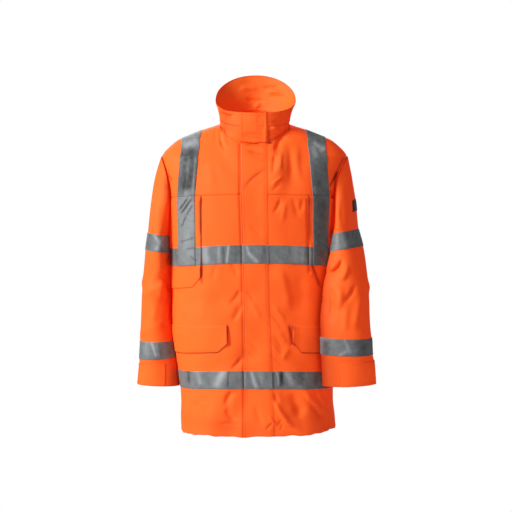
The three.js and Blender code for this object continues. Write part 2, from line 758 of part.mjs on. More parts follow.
function ringPoint(ring, side, angle) {
  const lean = THREE.MathUtils.degToRad(ring.lean);
  const extent = (ring.out - ring.in) / 2;
  const leaning = ring.deep * Math.sin(lean);
  const wide = Math.sqrt(Math.max(extent ** 2 - leaning ** 2, (0.3 * extent) ** 2)) / Math.cos(lean);
  const across = -wide * Math.cos(angle);
  const ahead = ring.deep * Math.sin(angle);
  const outward = (ring.out + ring.in) / 2 + across * Math.cos(lean) - ahead * Math.sin(lean);
  const y = ring.midY - ahead * Math.cos(lean) - across * Math.sin(lean);
  const share = (1 - Math.cos(angle)) / 2;
  return new THREE.Vector3(side * outward, y, mix(ring.zIn, ring.zOut, share));
}

function sleeveFold(angle, z) {
  const degrees = THREE.MathUtils.radToDeg(angle);
  return SLEEVE_FOLDS.reduce((sum, row) => {
    const round = ((degrees - row.turn + 540) % 360) - 180;
    return sum + fold(round, z - row.z + round / 3, row);
  }, 0);
}

function sleeveGrid(side, rings) {
  const points = armholePoints(side);
  const angles = ringAngles(points, side);
  const columns = points.map((start, i) => {
    const angle = angles[i];
    const first = ringPoint(rings[0], side, angle);
    const cap = CAP_SHARES.map((share) => {
      const swell = Math.sin(Math.PI * share);
      const place = start.clone().lerp(first, share);
      place.x += side * CAP_BULGE.out * swell * Math.max(0, -Math.cos(angle));
      place.y -= CAP_BULGE.deep * swell * Math.sin(angle);
      return clearOfBody(place, mix(SLEEVE_PROUD, SLEEVE_CLEARANCE, share));
    });
    const rest = rings.map((ring) => {
      const place = ringPoint(ring, side, angle);
      const out = new THREE.Vector3(side * -Math.cos(angle), -Math.sin(angle), 0);
      place.addScaledVector(out, sleeveFold(angle, place.z));
      return clearOfBody(place, SLEEVE_CLEARANCE);
    });
    return [start, ...cap, ...rest];
  });
  return { ...grid(columns, true), angles };
}

const rightSleeve = sleeveGrid(-1, RIGHT_RINGS);
const leftSleeve = sleeveGrid(1, LEFT_RINGS);

// The stretch of columns of a sleeve's grid that lies between two angles round it, in degrees
function stretch(sleeve, low, high) {
  const inside = sleeve.angles.map((angle) => {
    const degrees = THREE.MathUtils.radToDeg(angle);
    return degrees >= low && degrees <= high;
  });
  return { from: inside.indexOf(true), to: inside.lastIndexOf(true) };
}

function sewSleeves() {
  const capRows = CAP_SHARES.length + 1;
  const sleeves = [
    ["right", rightSleeve, RIGHT_RINGS],
    ["left", leftSleeve, LEFT_RINGS],
  ];
  for (const [side, sleeve, rings] of sleeves) {
    const at = (name, from = 0) => capRows + rings.findIndex((ring, i) => ring.name === name && i >= from);
    sew("sleeve_" + side, ORANGE, wall(sleeve, CLOTH_WALL));
    const upper = { low: at("tapeTop"), high: at("tapeLow") };
    const lower = { low: at("tapeTop", 2), high: at("tapeLow", 2) };
    sew("sleeve_tape_upper_" + side, SILVER, wall(sleeve, { ...upper, ...onPanel(TAPE) }));
    sew("sleeve_tape_lower_" + side, SILVER, wall(sleeve, { ...lower, ...onPanel(TAPE) }));
    const tab = { low: at("tabTop"), high: at("cuff") };
    const span = stretch(sleeve, CUFF_TAB.from, CUFF_TAB.to);
    sew("cuff_tab_" + side, ORANGE, wall(sleeve, { ...tab, ...span, ...onPanel(FLAP) }));
  }
  const badge = BADGE_SHARES.map((share) => CAP_SHARES.indexOf(share) + 1);
  const span = stretch(leftSleeve, BADGE_ANGLES.from, BADGE_ANGLES.to);
  sew("sleeve_badge", BLACK, wall(leftSleeve, { low: badge[0], high: badge[1], ...span, ...onPanel(BADGE) }));
}

sewBody();
sewCollar();
sewFastening();
sewFlaps();
sewTapes();
sewSleeves();

export default jacket;
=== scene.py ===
# High-visibility work jacket, worn with no wearer: every piece of cloth on the form of its solid, with its
# folds, seams and stitching. Lengths in the tables are millimetres; the scene is in metres.
import math

import bpy
import numpy as np
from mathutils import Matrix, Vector


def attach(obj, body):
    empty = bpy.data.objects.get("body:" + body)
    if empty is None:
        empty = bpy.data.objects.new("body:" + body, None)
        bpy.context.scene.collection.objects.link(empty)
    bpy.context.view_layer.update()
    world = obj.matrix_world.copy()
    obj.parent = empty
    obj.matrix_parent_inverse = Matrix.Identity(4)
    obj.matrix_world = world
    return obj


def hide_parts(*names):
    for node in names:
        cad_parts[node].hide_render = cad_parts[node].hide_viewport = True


MM = 0.001

# Thicknesses, and the levels of the pieces above the outer face of a panel
CLOTH = 2
FLAP = 1.6
TAPE = 1
BADGE = 1
ZIP = 1.2
GAP = 0.3
ZIP_DEPTH = 0.4
ON_PANEL = GAP
ON_FLAP = ON_PANEL + FLAP + GAP
ON_STORM_FLAP = ON_PANEL + CLOTH + GAP
OVER_TAPE = TAPE + GAP
SLEEVE_PROUD = CLOTH + 0.5
SLEEVE_CLEARANCE = {-1: 3, 1: 8}

# Horizontal sections of the body: z, half width, depth to front and back, squareness, middle along X and Y
SECTIONS = np.array(
    [
        (-845, 211, 141, 139, 2.5, 8, 0),
        (-794, 210, 141, 138, 2.5, 5, 0),
        (-750, 207, 140, 137, 2.5, 3, 0),
        (-712, 208, 140, 137, 2.5, 2, 0),
        (-671, 212, 141, 138, 2.5, 1, 0),
        (-621, 219, 142, 139, 2.5, 1, 0),
        (-547, 227, 144, 141, 2.5, 0, 0),
        (-479, 228, 145, 142, 2.5, 0, 0),
        (-384, 228, 146, 144, 2.5, -1, 0),
        (-296, 233, 147, 147, 2.5, -2, 0),
        (-195, 238, 145, 148, 2.5, -3, 0),
        (-130, 247, 137, 144, 2.45, -4, 2),
        (-92, 251, 124, 137, 2.4, -4, 4),
        (-80, 246, 119, 134, 2.35, -4, 5),
        (-58, 225, 108, 127, 2.3, -4, 6),
        (-44, 207, 102, 122, 2.25, -4, 7),
        (-37, 191, 99, 120, 2.2, -4, 7),
        (-17, 141, 89, 112, 2.15, -4, 8),
        (4, 88, 74, 104, 2.05, -4, 10),
        (18, 85, 70, 98, 2, -4, 12),
        (30, 77, 66, 92, 2, -4, 12),
        (44, 60, 60, 86, 2, -4, 12),
    ]
)

NECK_HALF = 88
NECK_SQUARE = 2.2
NECK_FRONT, NECK_SIDE, NECK_BACK = -54, 4, 42

# Armholes: top and bottom, and how far each side's reaches to the front and to the back
ARMHOLE_TOP, ARMHOLE_BOTTOM = -88, -290
ARMHOLE_SQUARE = 2.2
ARMHOLE_REACH = {-1: (66, 90), 1: (84, 86)}

# Level lines: height at the middle, drop at the sides, and lift at the wearer's left
LINES = [
    ("hem", -831, 2, 14),
    ("hemFold", -792, 3, 6),
    ("hemMiddle", -747, 6, 0),
    ("hemTapeLow", -703, 11, 0),
    ("hemTapeTop", -656, 10, 0),
    ("pocketLow", -606, 13, 0),
    ("pocketClip", -581, 11, 0),
    ("pocketTop", -533, 8, 0),
    ("waist", -479, 12, 0),
    ("chestFlapLow", -425, 21, 0),
    ("chestFlapClip", -399, 18, 0),
    ("chestTapeLow", -371, 14, 0),
    ("chestTapeTop", -322, 15, 0),
    ("armpit", -290, 0, 0),
    ("lowArmhole", -273, 2, 0),
    ("chest", -253, 4, 0),
    ("upperChest", -231, 6, 0),
    ("underYoke", -209, 8, 0),
    ("yoke", -190, 9, 0),
]
DROP_WIDTH = 230
YOKE_STEPS = 8
YOKE_CLUSTER = 1.7
YOKE_SHARES = [(1 - step / YOKE_STEPS) ** YOKE_CLUSTER for step in range(1, YOKE_STEPS + 1)]
EDGE_COLUMNS = 3
NECK_MARGIN = 0.5

# Cells between two lines of a panel, steps between two nodes of a joined edge, and the shortest step
CELLS = 12
NODE_STEPS = 8
SHORTEST = 0.5
HALVINGS = 30
PASSES = 3

# Upright lines: x at the shoulder or neck, yoke, tape, flap, pocket and hem
COLUMN_HEIGHTS = (-836, -595, -436, -385, -195)
RIGHT_COLUMNS = [
    ("tapeOut", -198, -209, -204, -206, -205, -190),
    ("tapeMiddle", -172, -185, -181, -187, -183, -170),
    ("tapeIn", -146, -161, -159, -168, -160, -150),
    ("slit", -118, -144, -144, -144, -135, -124),
    ("neckCorner", -92, -112, -110, -108, -101, -96),
    ("pocketEnd", -88, -92, -88, -84, -73, -74),
    ("throat", -77, -74, -69, -67, -58, -59),
    ("besideFlap", -61, -56, -50, -49, -44, -44),
    ("flapEdge", -42, -39, -33, -32, -29.5, -29),
    ("zip", -13, -10, -6.5, -5.5, -2, 4.5),
]
LEFT_COLUMNS = [
    ("zip", -1, 2, 5.5, 6.5, 10, 16.5),
    ("flapEdge", 29, 31, 33, 34, 40.5, 50),
    ("besideFlap", 49, 48, 50, 51, 58, 66),
    ("throat", 68, 67, 69, 71, 78, 81),
    ("pocketEnd", 80, 86, 88, 90, 97, 97),
    ("neckCorner", 84, 104, 105, 108, 121, 114),
    ("slit", 109, 137, 144, 148, 146, 136),
    ("tapeIn", 134, 149, 150, 170, 166, 158),
    ("tapeMiddle", 160, 172, 169, 183, 182, 174),
    ("tapeOut", 185, 194, 188, 197, 199, 192),
]
BACK_COLUMNS = [
    ("tapeOut", 185, 194, 190, 190, 190, 188),
    ("tapeMiddle", 160, 170, 166, 166, 166, 164),
    ("tapeIn", 134, 146, 142, 142, 142, 140),
    ("shoulder", 109, 122, 120, 120, 120, 118),
    ("neckCorner", 84, 98, 97, 97, 97, 96),
    ("neck3", 77.3, 76, 75, 75, 75, 75),
    ("neck2", 58.2, 52, 52, 52, 52, 52),
    ("neck1", 29.7, 25, 26, 27, 28, 29),
    ("middle", -4, -3, -1, -1, 0, 4),
    ("neck1", -37.7, -31, -28, -28, -27, -22),
    ("neck2", -66.2, -58, -54, -54, -52, -46),
    ("neck3", -85.3, -82, -77, -77, -75, -70),
    ("neckCorner", -92, -104, -100, -100, -98, -92),
    ("shoulder", -118, -130, -126, -126, -124, -118),
    ("tapeIn", -146, -157, -152, -152, -150, -142),
    ("tapeMiddle", -172, -181, -176, -176, -174, -166),
    ("tapeOut", -198, -205, -200, -200, -198, -190),
]

# The hem's small waves: height, waves round the body, phase and bend
HEM_WAVES = ((1.0, 17, 1, 1), (0.6, 33, 2.5, 0), (1.2, 7, 0, 0))

# Unevenness of hanging cloth: wave lengths, height as a share of each, turn, slant, swing and its length
UNEVEN_WAVES = (46, 60, 78, 100, 130)
UNEVEN_HEIGHT = 0.006
UNEVEN_TURN, UNEVEN_SLANT = 0.9, 0.45
UNEVEN_SWING, UNEVEN_SWING_LENGTH = 1.1, 90
FRONT_SEED, BACK_SEED, SLEEVE_SEED, COLLAR_SEED = 4, 9, 20, 31

# Large folds that the solids have too: middle x and z, direction in degrees, length, width and height
FRONT_FOLDS = [
    (62, -120, 62, 70, 22, 5),
    (96, -150, 66, 60, 20, -4),
    (-84, -96, -58, 55, 20, -4),
    (-100, -470, 12, 80, 26, -3),
    (90, -466, -14, 90, 26, -4),
    (70, -618, -32, 60, 18, 5),
    (22, -560, -28, 60, 18, -4),
    (-60, -632, 20, 60, 20, -4),
    (84, -770, 55, 70, 20, 6),
    (62, -800, 55, 50, 18, -5),
    (160, -742, -48, 60, 18, 5),
    (-110, -770, 80, 60, 24, 4),
    (-50, -780, 70, 60, 22, -5),
]
BACK_FOLDS = [
    (-60, -480, 10, 120, 26, 5),
    (70, -540, -12, 110, 26, -5),
    (40, -610, 8, 120, 24, 4),
    (-90, -250, -60, 90, 24, -4),
    (96, -240, 60, 90, 24, -4),
    (80, -760, 72, 80, 26, 5),
    (-50, -770, 80, 80, 26, 5),
    (-120, -740, 70, 70, 24, -4),
]

# Creases: from x, z to x, z, bow, width, height (a trough below 0) and skew of the slopes
CREASE_DEPTH = 1.35
SLEEVE_CREASE_SHARE = 1.25
CREASE_TAPER = 0.35
FRONT_CREASES = [
    (-95, -7, -79, -78, -7, 5, -3.5, 0.2),
    (-108, 1, -105, -62, 0, 7, -2, 0),
    (-41, -436, -74, -483, 4, 7, -3, 0.3),
    (-37, -472, -66, -528, 5, 7, -3, -0.3),
    (-105, -372, -116, -420, 0, 6, -1.5, 0),
    (-71, -370, -47, -407, 4, 6, -2, 0),
    (-34, -614, -71, -654, 3, 6, -3.5, 0.3),
    (-55, -706, -79, -754, -8, 8, -5, 0.2),
    (-79, -749, -47, -791, -8, 8, -4, 0),
    (-102, -796, -34, -798, 0, 4, -1.8, 0),
    (-179, -725, -129, -759, 0, 8, 2, 0),
    (-173, -762, -137, -735, 0, 6, -1.5, 0),
    (-210, -467, -184, -522, 0, 10, 2, 0),
    (-147, -467, -139, -525, 0, 12, 1.5, 0),
    (-126, -99, -113, -178, 0, 12, 1.5, 0),
    (-29, -58, 21, -61, 1, 3.2, -2.2, 0.3),
    (-21, -75, 26, -83, -3, 3.2, -1.6, 0),
    (26, -125, -32, -174, -4, 5, -2, 0.2),
    (-24, -572, 13, -609, 0, 3.5, -1.6, 0.2),
    (-21, -604, 13, -628, 0, 3.5, -1.6, 0),
    (-16, -625, 29, -641, 0, 3, 1.2, 0),
    (-26, -441, 0, -470, 0, 5, -1.5, 0),
    (-16, -467, 16, -525, 0, 7, 1.5, 0),
    (-16, -270, 16, -299, 0, 6, -1.2, 0),
    (-11, -662, 16, -709, 0, 5, 1.5, 0),
    (81, -23, 50, -88, -7, 8, -7, 0.3),
    (50, -78, 45, -141, 0, 5, -3, 0),
    (66, -73, 63, -131, 0, 5, 2.5, 0),
    (87, -52, 89, -162, 3, 8, -2.5, 0),
    (108, -52, 116, -167, -3, 9, 2.5, 0),
    (74, -141, 37, -170, -3, 4, 2.4, 0.2),
    (66, -162, 39, -183, 0, 4, -1.6, 0),
    (66, -196, 42, -244, 3, 5, -2.6, 0.2),
    (79, -204, 66, -267, 0, 6, 2, 0),
    (95, -194, 113, -254, 0, 7, -2, 0),
    (126, -196, 116, -241, 0, 6, -2, 0),
    (53, -370, 87, -509, 7, 16, 5, -0.2),
    (116, -388, 121, -509, 0, 18, -3, 0),
    (42, -478, 81, -530, 0, 4.5, 2, 0.2),
    (37, -499, 76, -549, 0, 4, -1.8, 0),
    (55, -549, 84, -585, 0, 4, 2, 0),
    (47, -562, 74, -599, 0, 3.5, -1.8, 0),
    (39, -583, 68, -617, 0, 4, 1.8, 0),
    (32, -604, 66, -635, 0, 3.5, -1.6, 0),
    (92, -591, 68, -630, -3, 8, 3, 0),
    (49, -712, 62, -743, -4, 4.5, -4, 0.2),
    (45, -725, 105, -812, -8, 6.5, 7, 0.25),
    (87, -714, 123, -785, 3, 15, -7, 0),
    (123, -709, 181, -775, 0, 7, 4, 0.2),
    (163, -699, 194, -762, -4, 5, 4, 0),
    (139, -730, 181, -796, 0, 8, -4, 0),
    (45, -791, 24, -814, 0, 3.5, -2.5, 0.2),
    (55, -804, 71, -783, 0, 3, -2, 0),
    (32, -772, 55, -798, 0, 3, 1.6, 0),
    (71, -793, 66, -817, 0, 3.5, -1.8, 0),
    (-3, -743, 16, -804, 0, 8, -2, 0),
]
FLAP_CREASES = [
    (-36, -32, 30, -38, 2, 4, -1.6, 0.2),
    (-38, -46, 26, -50, -2, 4, 1.4, 0),
    (0, 16, 26, -20, 3, 6, -1.2, 0),
]
BACK_CREASES = [
    (-150, -300, -60, -350, 6, 8, 2.5, 0.2),
    (150, -310, 70, -365, -6, 8, 2.5, -0.2),
    (-60, -60, -95, -160, -5, 9, -3, 0.2),
    (66, -50, 100, -150, 5, 8, -3, -0.2),
    (-20, -90, 34, -96, 4, 7, 1.6, 0),
    (-110, -460, -30, -486, 5, 7, 2.5, 0.2),
    (20, -452, 120, -478, -5, 8, -2.5, 0),
    (-140, -520, -70, -556, 4, 6, -2, 0),
    (60, -560, 130, -534, 4, 7, 2.4, 0.2),
    (-40, -600, 50, -622, -4, 8, -2.6, 0),
    (-90, -700, -70, -815, 6, 10, 3.5, 0.1),
    (-30, -715, -44, -812, -4, 9, -3, 0),
    (50, -706, 62, -818, 5, 10, 3.5, -0.1),
    (104, -720, 92, -812, -3, 9, -3, 0),
    (150, -700, 160, -790, 0, 8, 2.4, 0),
]
SLEEVE_CREASES = {
    (1, "front"): [
        (218, -130, 193, -175, 3, 5, -7, 0.3),
        (222, -141, 198, -181, 3, 4, 4, 0),
        (203, -167, 196, -205, 0, 5, -5, 0),
        (230, -358, 182, -403, 7, 6.5, -9, 0.3),
        (240, -369, 217, -422, 3, 8, 4, 0),
        (193, -342, 213, -377, 0, 2.2, -2, 0),
        (219, -422, 211, -501, 3, 9, 4, 0),
        (198, -416, 196, -535, 0, 8, -5, 0),
        (264, -422, 227, -474, 3, 6, -3.5, 0.2),
        (275, -443, 254, -549, 0, 10, 3, 0),
        (235, -469, 230, -562, 0, 9, 2, 0),
        (248, -112, 254, -205, 0, 10, 2, 0),
        (230, -205, 227, -271, 0, 8, -2, 0),
        (280, -152, 270, -194, 0, 5, 1, 0),
    ],
    (-1, "front"): [
        (-246, -130, -230, -160, 0, 3.5, -4.5, 0.2),
        (-254, -141, -240, -184, 0, 6, 3, 0),
        (-231, -160, -231, -206, 0, 3, -2, 0),
        (-227, -349, -240, -379, 0, 5, -3, 0),
        (-243, -401, -224, -466, -4, 6, -5, 0.2),
        (-251, -417, -259, -476, 0, 9, 2.5, 0),
        (-227, -476, -232, -547, 0, 5, -4, 0),
        (-259, -536, -235, -563, 0, 5, -2.5, 0),
        (-267, -476, -281, -547, 0, 9, 2, 0),
        (-273, -374, -292, -433, 0, 8, -2, 0),
        (-259, -206, -265, -287, 0, 10, 2, 0),
        (-267, -585, -259, -639, 0, 6, 1.5, 0),
    ],
    (1, "back"): [
        (200, -150, 250, -210, 4, 8, -3.5, 0.2),
        (210, -230, 270, -262, 0, 8, 2.5, 0),
        (190, -380, 260, -410, -4, 7, 3, 0.2),
        (196, -430, 280, -440, 3, 7, -3.5, 0),
        (200, -466, 270, -486, 0, 8, 3, 0),
        (240, -500, 232, -560, 0, 8, -2, 0),
    ],
    (-1, "back"): [
        (-206, -150, -256, -214, -4, 8, -3.5, 0.2),
        (-236, -236, -290, -262, 0, 8, 2.5, 0),
        (-240, -390, -300, -416, 4, 7, 3, 0.2),
        (-238, -440, -304, -452, -3, 7, -3.5, 0),
        (-244, -480, -300, -496, 0, 8, 3, 0),
        (-270, -500, -264, -570, 0, 8, -2, 0),
    ],
}

# Painted highlights and painted shade on the tapes, streaks where a bend would turn the tape to the light or
# away
# from it: from x, z to x, z, width and strength
STREAK_FADE = 0.3
BACK_SHIFT = 12
TAPE_STREAKS = [
    (-176, -70, -180, -186, 30, -0.62),
    (-192, -65, -158, -47, 10.6, 0.5),
    (-160, -94, -166, -183, 3.2, 0.3),
    (-175, -86, -189, -178, 5.0, 0.2),
    (-184, -131, -192, -189, 2.6, -0.3),
    (-192, -186, -163, -178, 7.9, 0.3),
    (-179, -196, -179, -367, 23.8, 0.2),
    (-169, -202, -195, -239, 2.6, -0.7),
    (-179, -200, -200, -230, 2.6, -0.6),
    (-167, -219, -182, -245, 2.6, -0.5),
    (-184, -249, -195, -275, 2.6, -0.5),
    (-197, -316, -164, -305, 2.9, -0.35),
    (-182, -335, -158, -331, 2.6, -0.35),
    (-171, -354, -155, -365, 2.6, -0.35),
    (150, -52, 184, -73, 7.9, 0.5),
    (152, -63, 158, -94, 6.6, 0.45),
    (155, -54, 168, -67, 2.4, 0.7),
    (168, -78, 184, -65, 5.3, 0.5),
    (152, -170, 157, -189, 3.2, 0.45),
    (163, -194, 165, -372, 23.8, -0.18),
    (173, -99, 163, -173, 10.6, -0.15),
    (-134, -325, -131, -372, 8.5, 0.55),
    (-98, -325, -97, -372, 4.2, 0.4),
    (-85, -325, -85, -372, 3.2, -0.25),
    (-72, -323, -77, -370, 2.4, 0.85),
    (-55, -323, -55, -370, 10.6, -0.15),
    (-25, -324, -18, -347, 3.7, 0.65),
    (-18, -345, 5, -368, 4.8, 0.6),
    (21, -323, 21, -370, 7.9, -0.15),
    (33, -320, 33, -372, 1.6, 1),
    (105, -323, 108, -370, 18.6, 0.35),
    (125, -325, 123, -370, 2.6, 0.3),
    (-215, -325, -210, -372, 7.9, -0.2),
    (-179, -653, -179, -695, 5.3, -0.3),
    (-158, -653, -147, -695, 6.9, 0.35),
    (-84, -653, -105, -698, 9.5, 0.65),
    (-73, -653, -75, -698, 2.6, -0.45),
    (-13, -656, 0, -698, 4.8, 0.65),
    (11, -656, 16, -698, 5.3, 0.2),
    (53, -655, 59, -677, 1.9, 0.8),
    (59, -677, 58, -695, 1.9, 0.6),
    (67, -653, 67, -695, 5.3, -0.55),
    (79, -653, 95, -695, 7.4, 0.5),
    (116, -653, 116, -695, 10.6, -0.25),
    (131, -656, 143, -693, 2.9, 0.2),
    (158, -653, 158, -695, 7.9, -0.25),
]
SLEEVE_STREAKS = {
    -1: [
        (-270, -300, -249, -330, 3.7, 0.5),
        (-249, -300, -266, -340, 5.0, 0.55),
        (-285, -295, -288, -338, 7.9, -0.15),
        (-282, -588, -271, -628, 3.2, 0.75),
        (-296, -585, -296, -628, 7.9, 0.25),
        (-242, -588, -226, -625, 7.9, -0.1),
    ],
    1: [
        (225, -284, 233, -329, 5.8, 0.35),
        (248, -279, 254, -326, 2.6, 0.22),
        (193, -297, 196, -337, 7.9, -0.3),
        (230, -567, 246, -604, 4.0, 0.4),
        (217, -612, 238, -598, 4.0, 0.4),
        (185, -572, 185, -617, 10.6, -0.4),
        (275, -569, 275, -614, 15.9, -0.2),
    ],
}
BACK_STREAKS = [
    (-160, -70, -150, -170, 8, 0.4),
    (-158, -190, -168, -290, 5, -0.3),
    (-150, -250, -156, -310, 3, 0.5),
    (150, -90, 140, -180, 6, 0.3),
    (152, -200, 148, -300, 4, -0.3),
    (-200, -325, -190, -370, 7, 0.4),
    (-110, -323, -118, -371, 4, 0.5),
    (-60, -322, -64, -372, 9, -0.25),
    (-10, -322, 6, -372, 5, 0.45),
    (60, -322, 58, -372, 3, 0.5),
    (118, -323, 128, -371, 8, -0.25),
    (180, -325, 186, -372, 6, 0.35),
    (-170, -658, -158, -706, 6, 0.4),
    (-96, -656, -104, -706, 4, 0.5),
    (-40, -656, -30, -706, 8, -0.3),
    (24, -656, 30, -706, 4, 0.5),
    (90, -657, 80, -706, 6, 0.35),
    (150, -658, 156, -706, 5, -0.3),
]

# Painted soft shadows on the front's orange cloth, under folds, beside free edges and against the sleeves:
# from x, z to x, z, width and strength
FRONT_SHADOWS = [
    (92, -14, 37, -55, 5, 0.4),
    (34, -20, 35, -56, 3, 0.5),
    (29, -55, 43, -54, 2, 0.8),
    (-36, -33, 28, -40, 4, 0.16),
    (-30, -59, 22, -64, 3.5, 0.3),
    (-22, -77, 26, -86, 4.5, 0.24),
    (25, -120, -31, -172, 7, 0.26),
    (60, -62, 44, -104, 5, 0.3),
    (78, -50, 66, -130, 8, 0.22),
    (-87, -14, -76, -60, 4, 0.3),
    (-148, -203, -146, -290, 2.6, 0.6),
    (-144, -382, -144, -424, 3.2, 0.8),
    (139, -198, 141, -312, 3.2, 0.8),
    (144, -366, 166, -428, 4, 0.75),
    (86, -534, 100, -592, 4, 0.7),
    (-74, -534, -76, -580, 3, 0.5),
    (-30, -74, 24, -104, 9, 0.16),
    (10, -240, 0, -330, 12, 0.12),
    (56, -400, 70, -520, 14, 0.14),
    (40, -560, 62, -640, 9, 0.2),
    (-44, -440, -62, -520, 7, 0.16),
    (-40, -520, -50, -650, 8, 0.18),
    (60, -712, 88, -780, 8, 0.25),
    (96, -740, 120, -815, 8, 0.22),
    (205, -290, 174, -430, 11, 0.55),
    (174, -430, 166, -560, 11, 0.55),
    (166, -560, 176, -700, 11, 0.5),
    (236, -90, 213, -135, 5, 0.5),
    (213, -135, 207, -204, 6, 0.65),
    (207, -204, 197, -300, 8, 0.75),
    (216, -132, 194, -170, 3.5, 0.7),
    (196, -178, 203, -200, 4, 0.5),
    (-240, -131, -224, -152, 3.5, 0.5),
    (-232, -150, -228, -300, 5, 0.4),
    (150, -450, 160, -640, 34, 0.12),
    (150, -750, 200, -835, 34, 0.24),
    (-130, -800, 20, -815, 20, 0.1),
    (-88, 40, -76, -24, 20, 0.36),
    (-200, -790, -60, -806, 26, 0.12),
    (84, -60, 60, -150, 12, 0.14),
]

# Narrow troughs beside a free edge: its upright line, top and bottom, distance to the right, width and depth
TROUGH_FADE = 12
EDGE_TROUGHS = [
    ("right flapEdge", -50, -850, -3, 3.2, 3.4),
    ("left slit", -196, -402, -3, 3.4, 3.6),
    ("left pocketEnd", -536, -596, -3, 3.4, 3.6),
]

# Sleeves: rings from the upper tape to the cuff. Outer and inner heights, reach out and in from the middle of
# the jacket, middle and half depth along Y, and lean in degrees
RING_NAMES = (
    "tapeTop", "tapeLow", "overElbow", "elbow", "underElbow", "forearm", "lowerTapeTop", "lowerTapeLow",
    "tabTop", "tabMiddle", "cuff",
)
RINGS = {
    -1: np.array(
        [
            (-294, -302, 292, 230, 6, 92, 0),
            (-341, -348, 299, 227, 8, 88, 0),
            (-385, -392, 304, 224, 11, 83, 0),
            (-430, -436, 309, 222, 15, 78, 0),
            (-480, -484, 312, 220, 18, 75, 0),
            (-536, -538, 314, 217, 21, 71, 0),
            (-591, -588, 316, 214, 22, 66, 0),
            (-642, -634, 319, 211, 22, 57, 0),
            (-653, -643, 319, 210, 22, 55, 0),
            (-682, -678, 321, 208, 20, 50, 0),
            (-710, -714, 324, 209, 18, 46, 0),
        ]
    ),
    1: np.array(
        [
            (-285, -297, 280, 202, -26, 96, 14),
            (-330, -344, 290, 194, -46, 90, 16),
            (-376, -388, 295, 184, -70, 82, 16),
            (-424, -431, 298, 177, -92, 74, 14),
            (-473, -477, 300, 172, -109, 68, 11),
            (-523, -523, 302, 169, -119, 63, 7),
            (-568, -566, 305, 171, -122, 60, 5),
            (-614, -612, 308, 172, -120, 54, 3),
            (-629, -627, 311, 174, -118, 52, 2),
            (-661, -663, 314, 176, -112, 47, 1),
            (-694, -700, 317, 178, -106, 43, 0),
        ]
    ),
}

# The cap: the share of the way from the armhole to the first ring of each of its rows, and how far it bulges
CAP_SHARES = (0, 0.1, 0.25, 0.42, 0.587, 0.748, 0.88, 1)
CAP_ROWS = len(CAP_SHARES) - 1
CAP_BULGE_OUT = 7
CAP_BULGE_DEEP = 7

# Relief round a sleeve: the rows it sets in over, how sharply front turns to back, and millimetres a degree
RELIEF_ROWS = 2
FACING = 3
SLEEVE_DEGREE = 1.1
SLEEVE_FOLD_SLANT = 1 / 3
RING_THINNEST = 0.3

# Folds round a sleeve: height, angle, length, width and height of the fold
SLEEVE_FOLDS = [
    (-415, 70, 40, 14, -4),
    (-450, 110, 44, 14, 4),
    (-480, 60, 40, 14, -4),
    (-440, 200, 44, 14, 4),
    (-470, 250, 44, 14, -4),
    (-560, 130, 44, 16, 4),
    (-550, 300, 44, 16, 4),
]

# Angles and rows of the cuff tab and the badge
CUFF_TAB = (62, 300)
BADGE_ANGLES = (150, 200)
BADGE_ROWS = (4, 5)

# Painted shade on a sleeve beside the body, over degrees and rows, and round its seam at the armhole
SIDE_SHADE, SIDE_REACH, SIDE_ROWS = 0.9, 58, 3
CAP_SHADE, CAP_REACH, CAP_END, CAP_FADE = 0.7, 1.8, 150, 60

# Collar: the rim's middle, half width, depths, height at the sides, slope and curve along Y, squareness
RIM_X, RIM_HALF, RIM_FRONT, RIM_BACK = -1.5, 109, 106, 99
RIM_SIDE, RIM_SLOPE, RIM_CURVE, RIM_SQUARE = 67, 0.55, 0.0015, 2.15
COLLAR_BULGE_SIDE, COLLAR_BULGE_FRONT = -3, 3
COLLAR_BLEND = 20
COLLAR_UNEVEN = 0.7
NECK_LAP = 1.5

# Creases of the collar behind the neck, and round its front
COLLAR_BACK_CREASES = [
    (14, 101, 72, 108, -3, 4.5, 3.4, 0.3),
    (26, 89, 84, 84, 3, 4, -3.4, 0.3),
    (30, 76, 86, 72, 3, 4, 3, 0.3),
    (-52, 94, 12, 100, 4, 7, -2.2, 0),
    (-34, 72, 30, 68, -4, 6, 2.4, 0),
    (-6, 44, 14, 62, 0, 5, -3, 0),
]
COLLAR_FRONT_CREASES = [
    (-97, 26, -58, 14, -3, 4, -4.5, 0.3),
    (-94, 36, -56, 24, -3, 5, 2.5, 0),
    (84, 30, 40, -4, 6, 7, -3, 0.2),
    (34, -14, 70, -30, 5, 6, 3, 0),
]

# The seam round the collar's front: height at the sides, drop, bumps as height, distance and width, and
# painted shade
NECK_SEAM, NECK_SEAM_DROP = 3, 15
NECK_SEAM_BUMPS = ((-1.1, 0, 1.6), (0.6, 4, 2.4))
NECK_SEAM_SHADE, NECK_SEAM_REACH = 0.4, 1.3

# The collar flap: its step over the zip, and how far its free edge and its lower corner stand off
FLAP_OVER_ZIP = 12
FLAP_LIFT, FLAP_CORNER_LIFT, FLAP_LIFT_REACH = 1.2, 2.2, 9

# How far a flap's free edge stands off: height, reach up and down, and lift
SLIT_LIFTS = ((-206, 10, 2.2), (-384, 26, 4.2), (-300, 60, 0.8))
POCKET_LIFTS = ((-585, 26, 4.5), (-550, 30, 2.4))
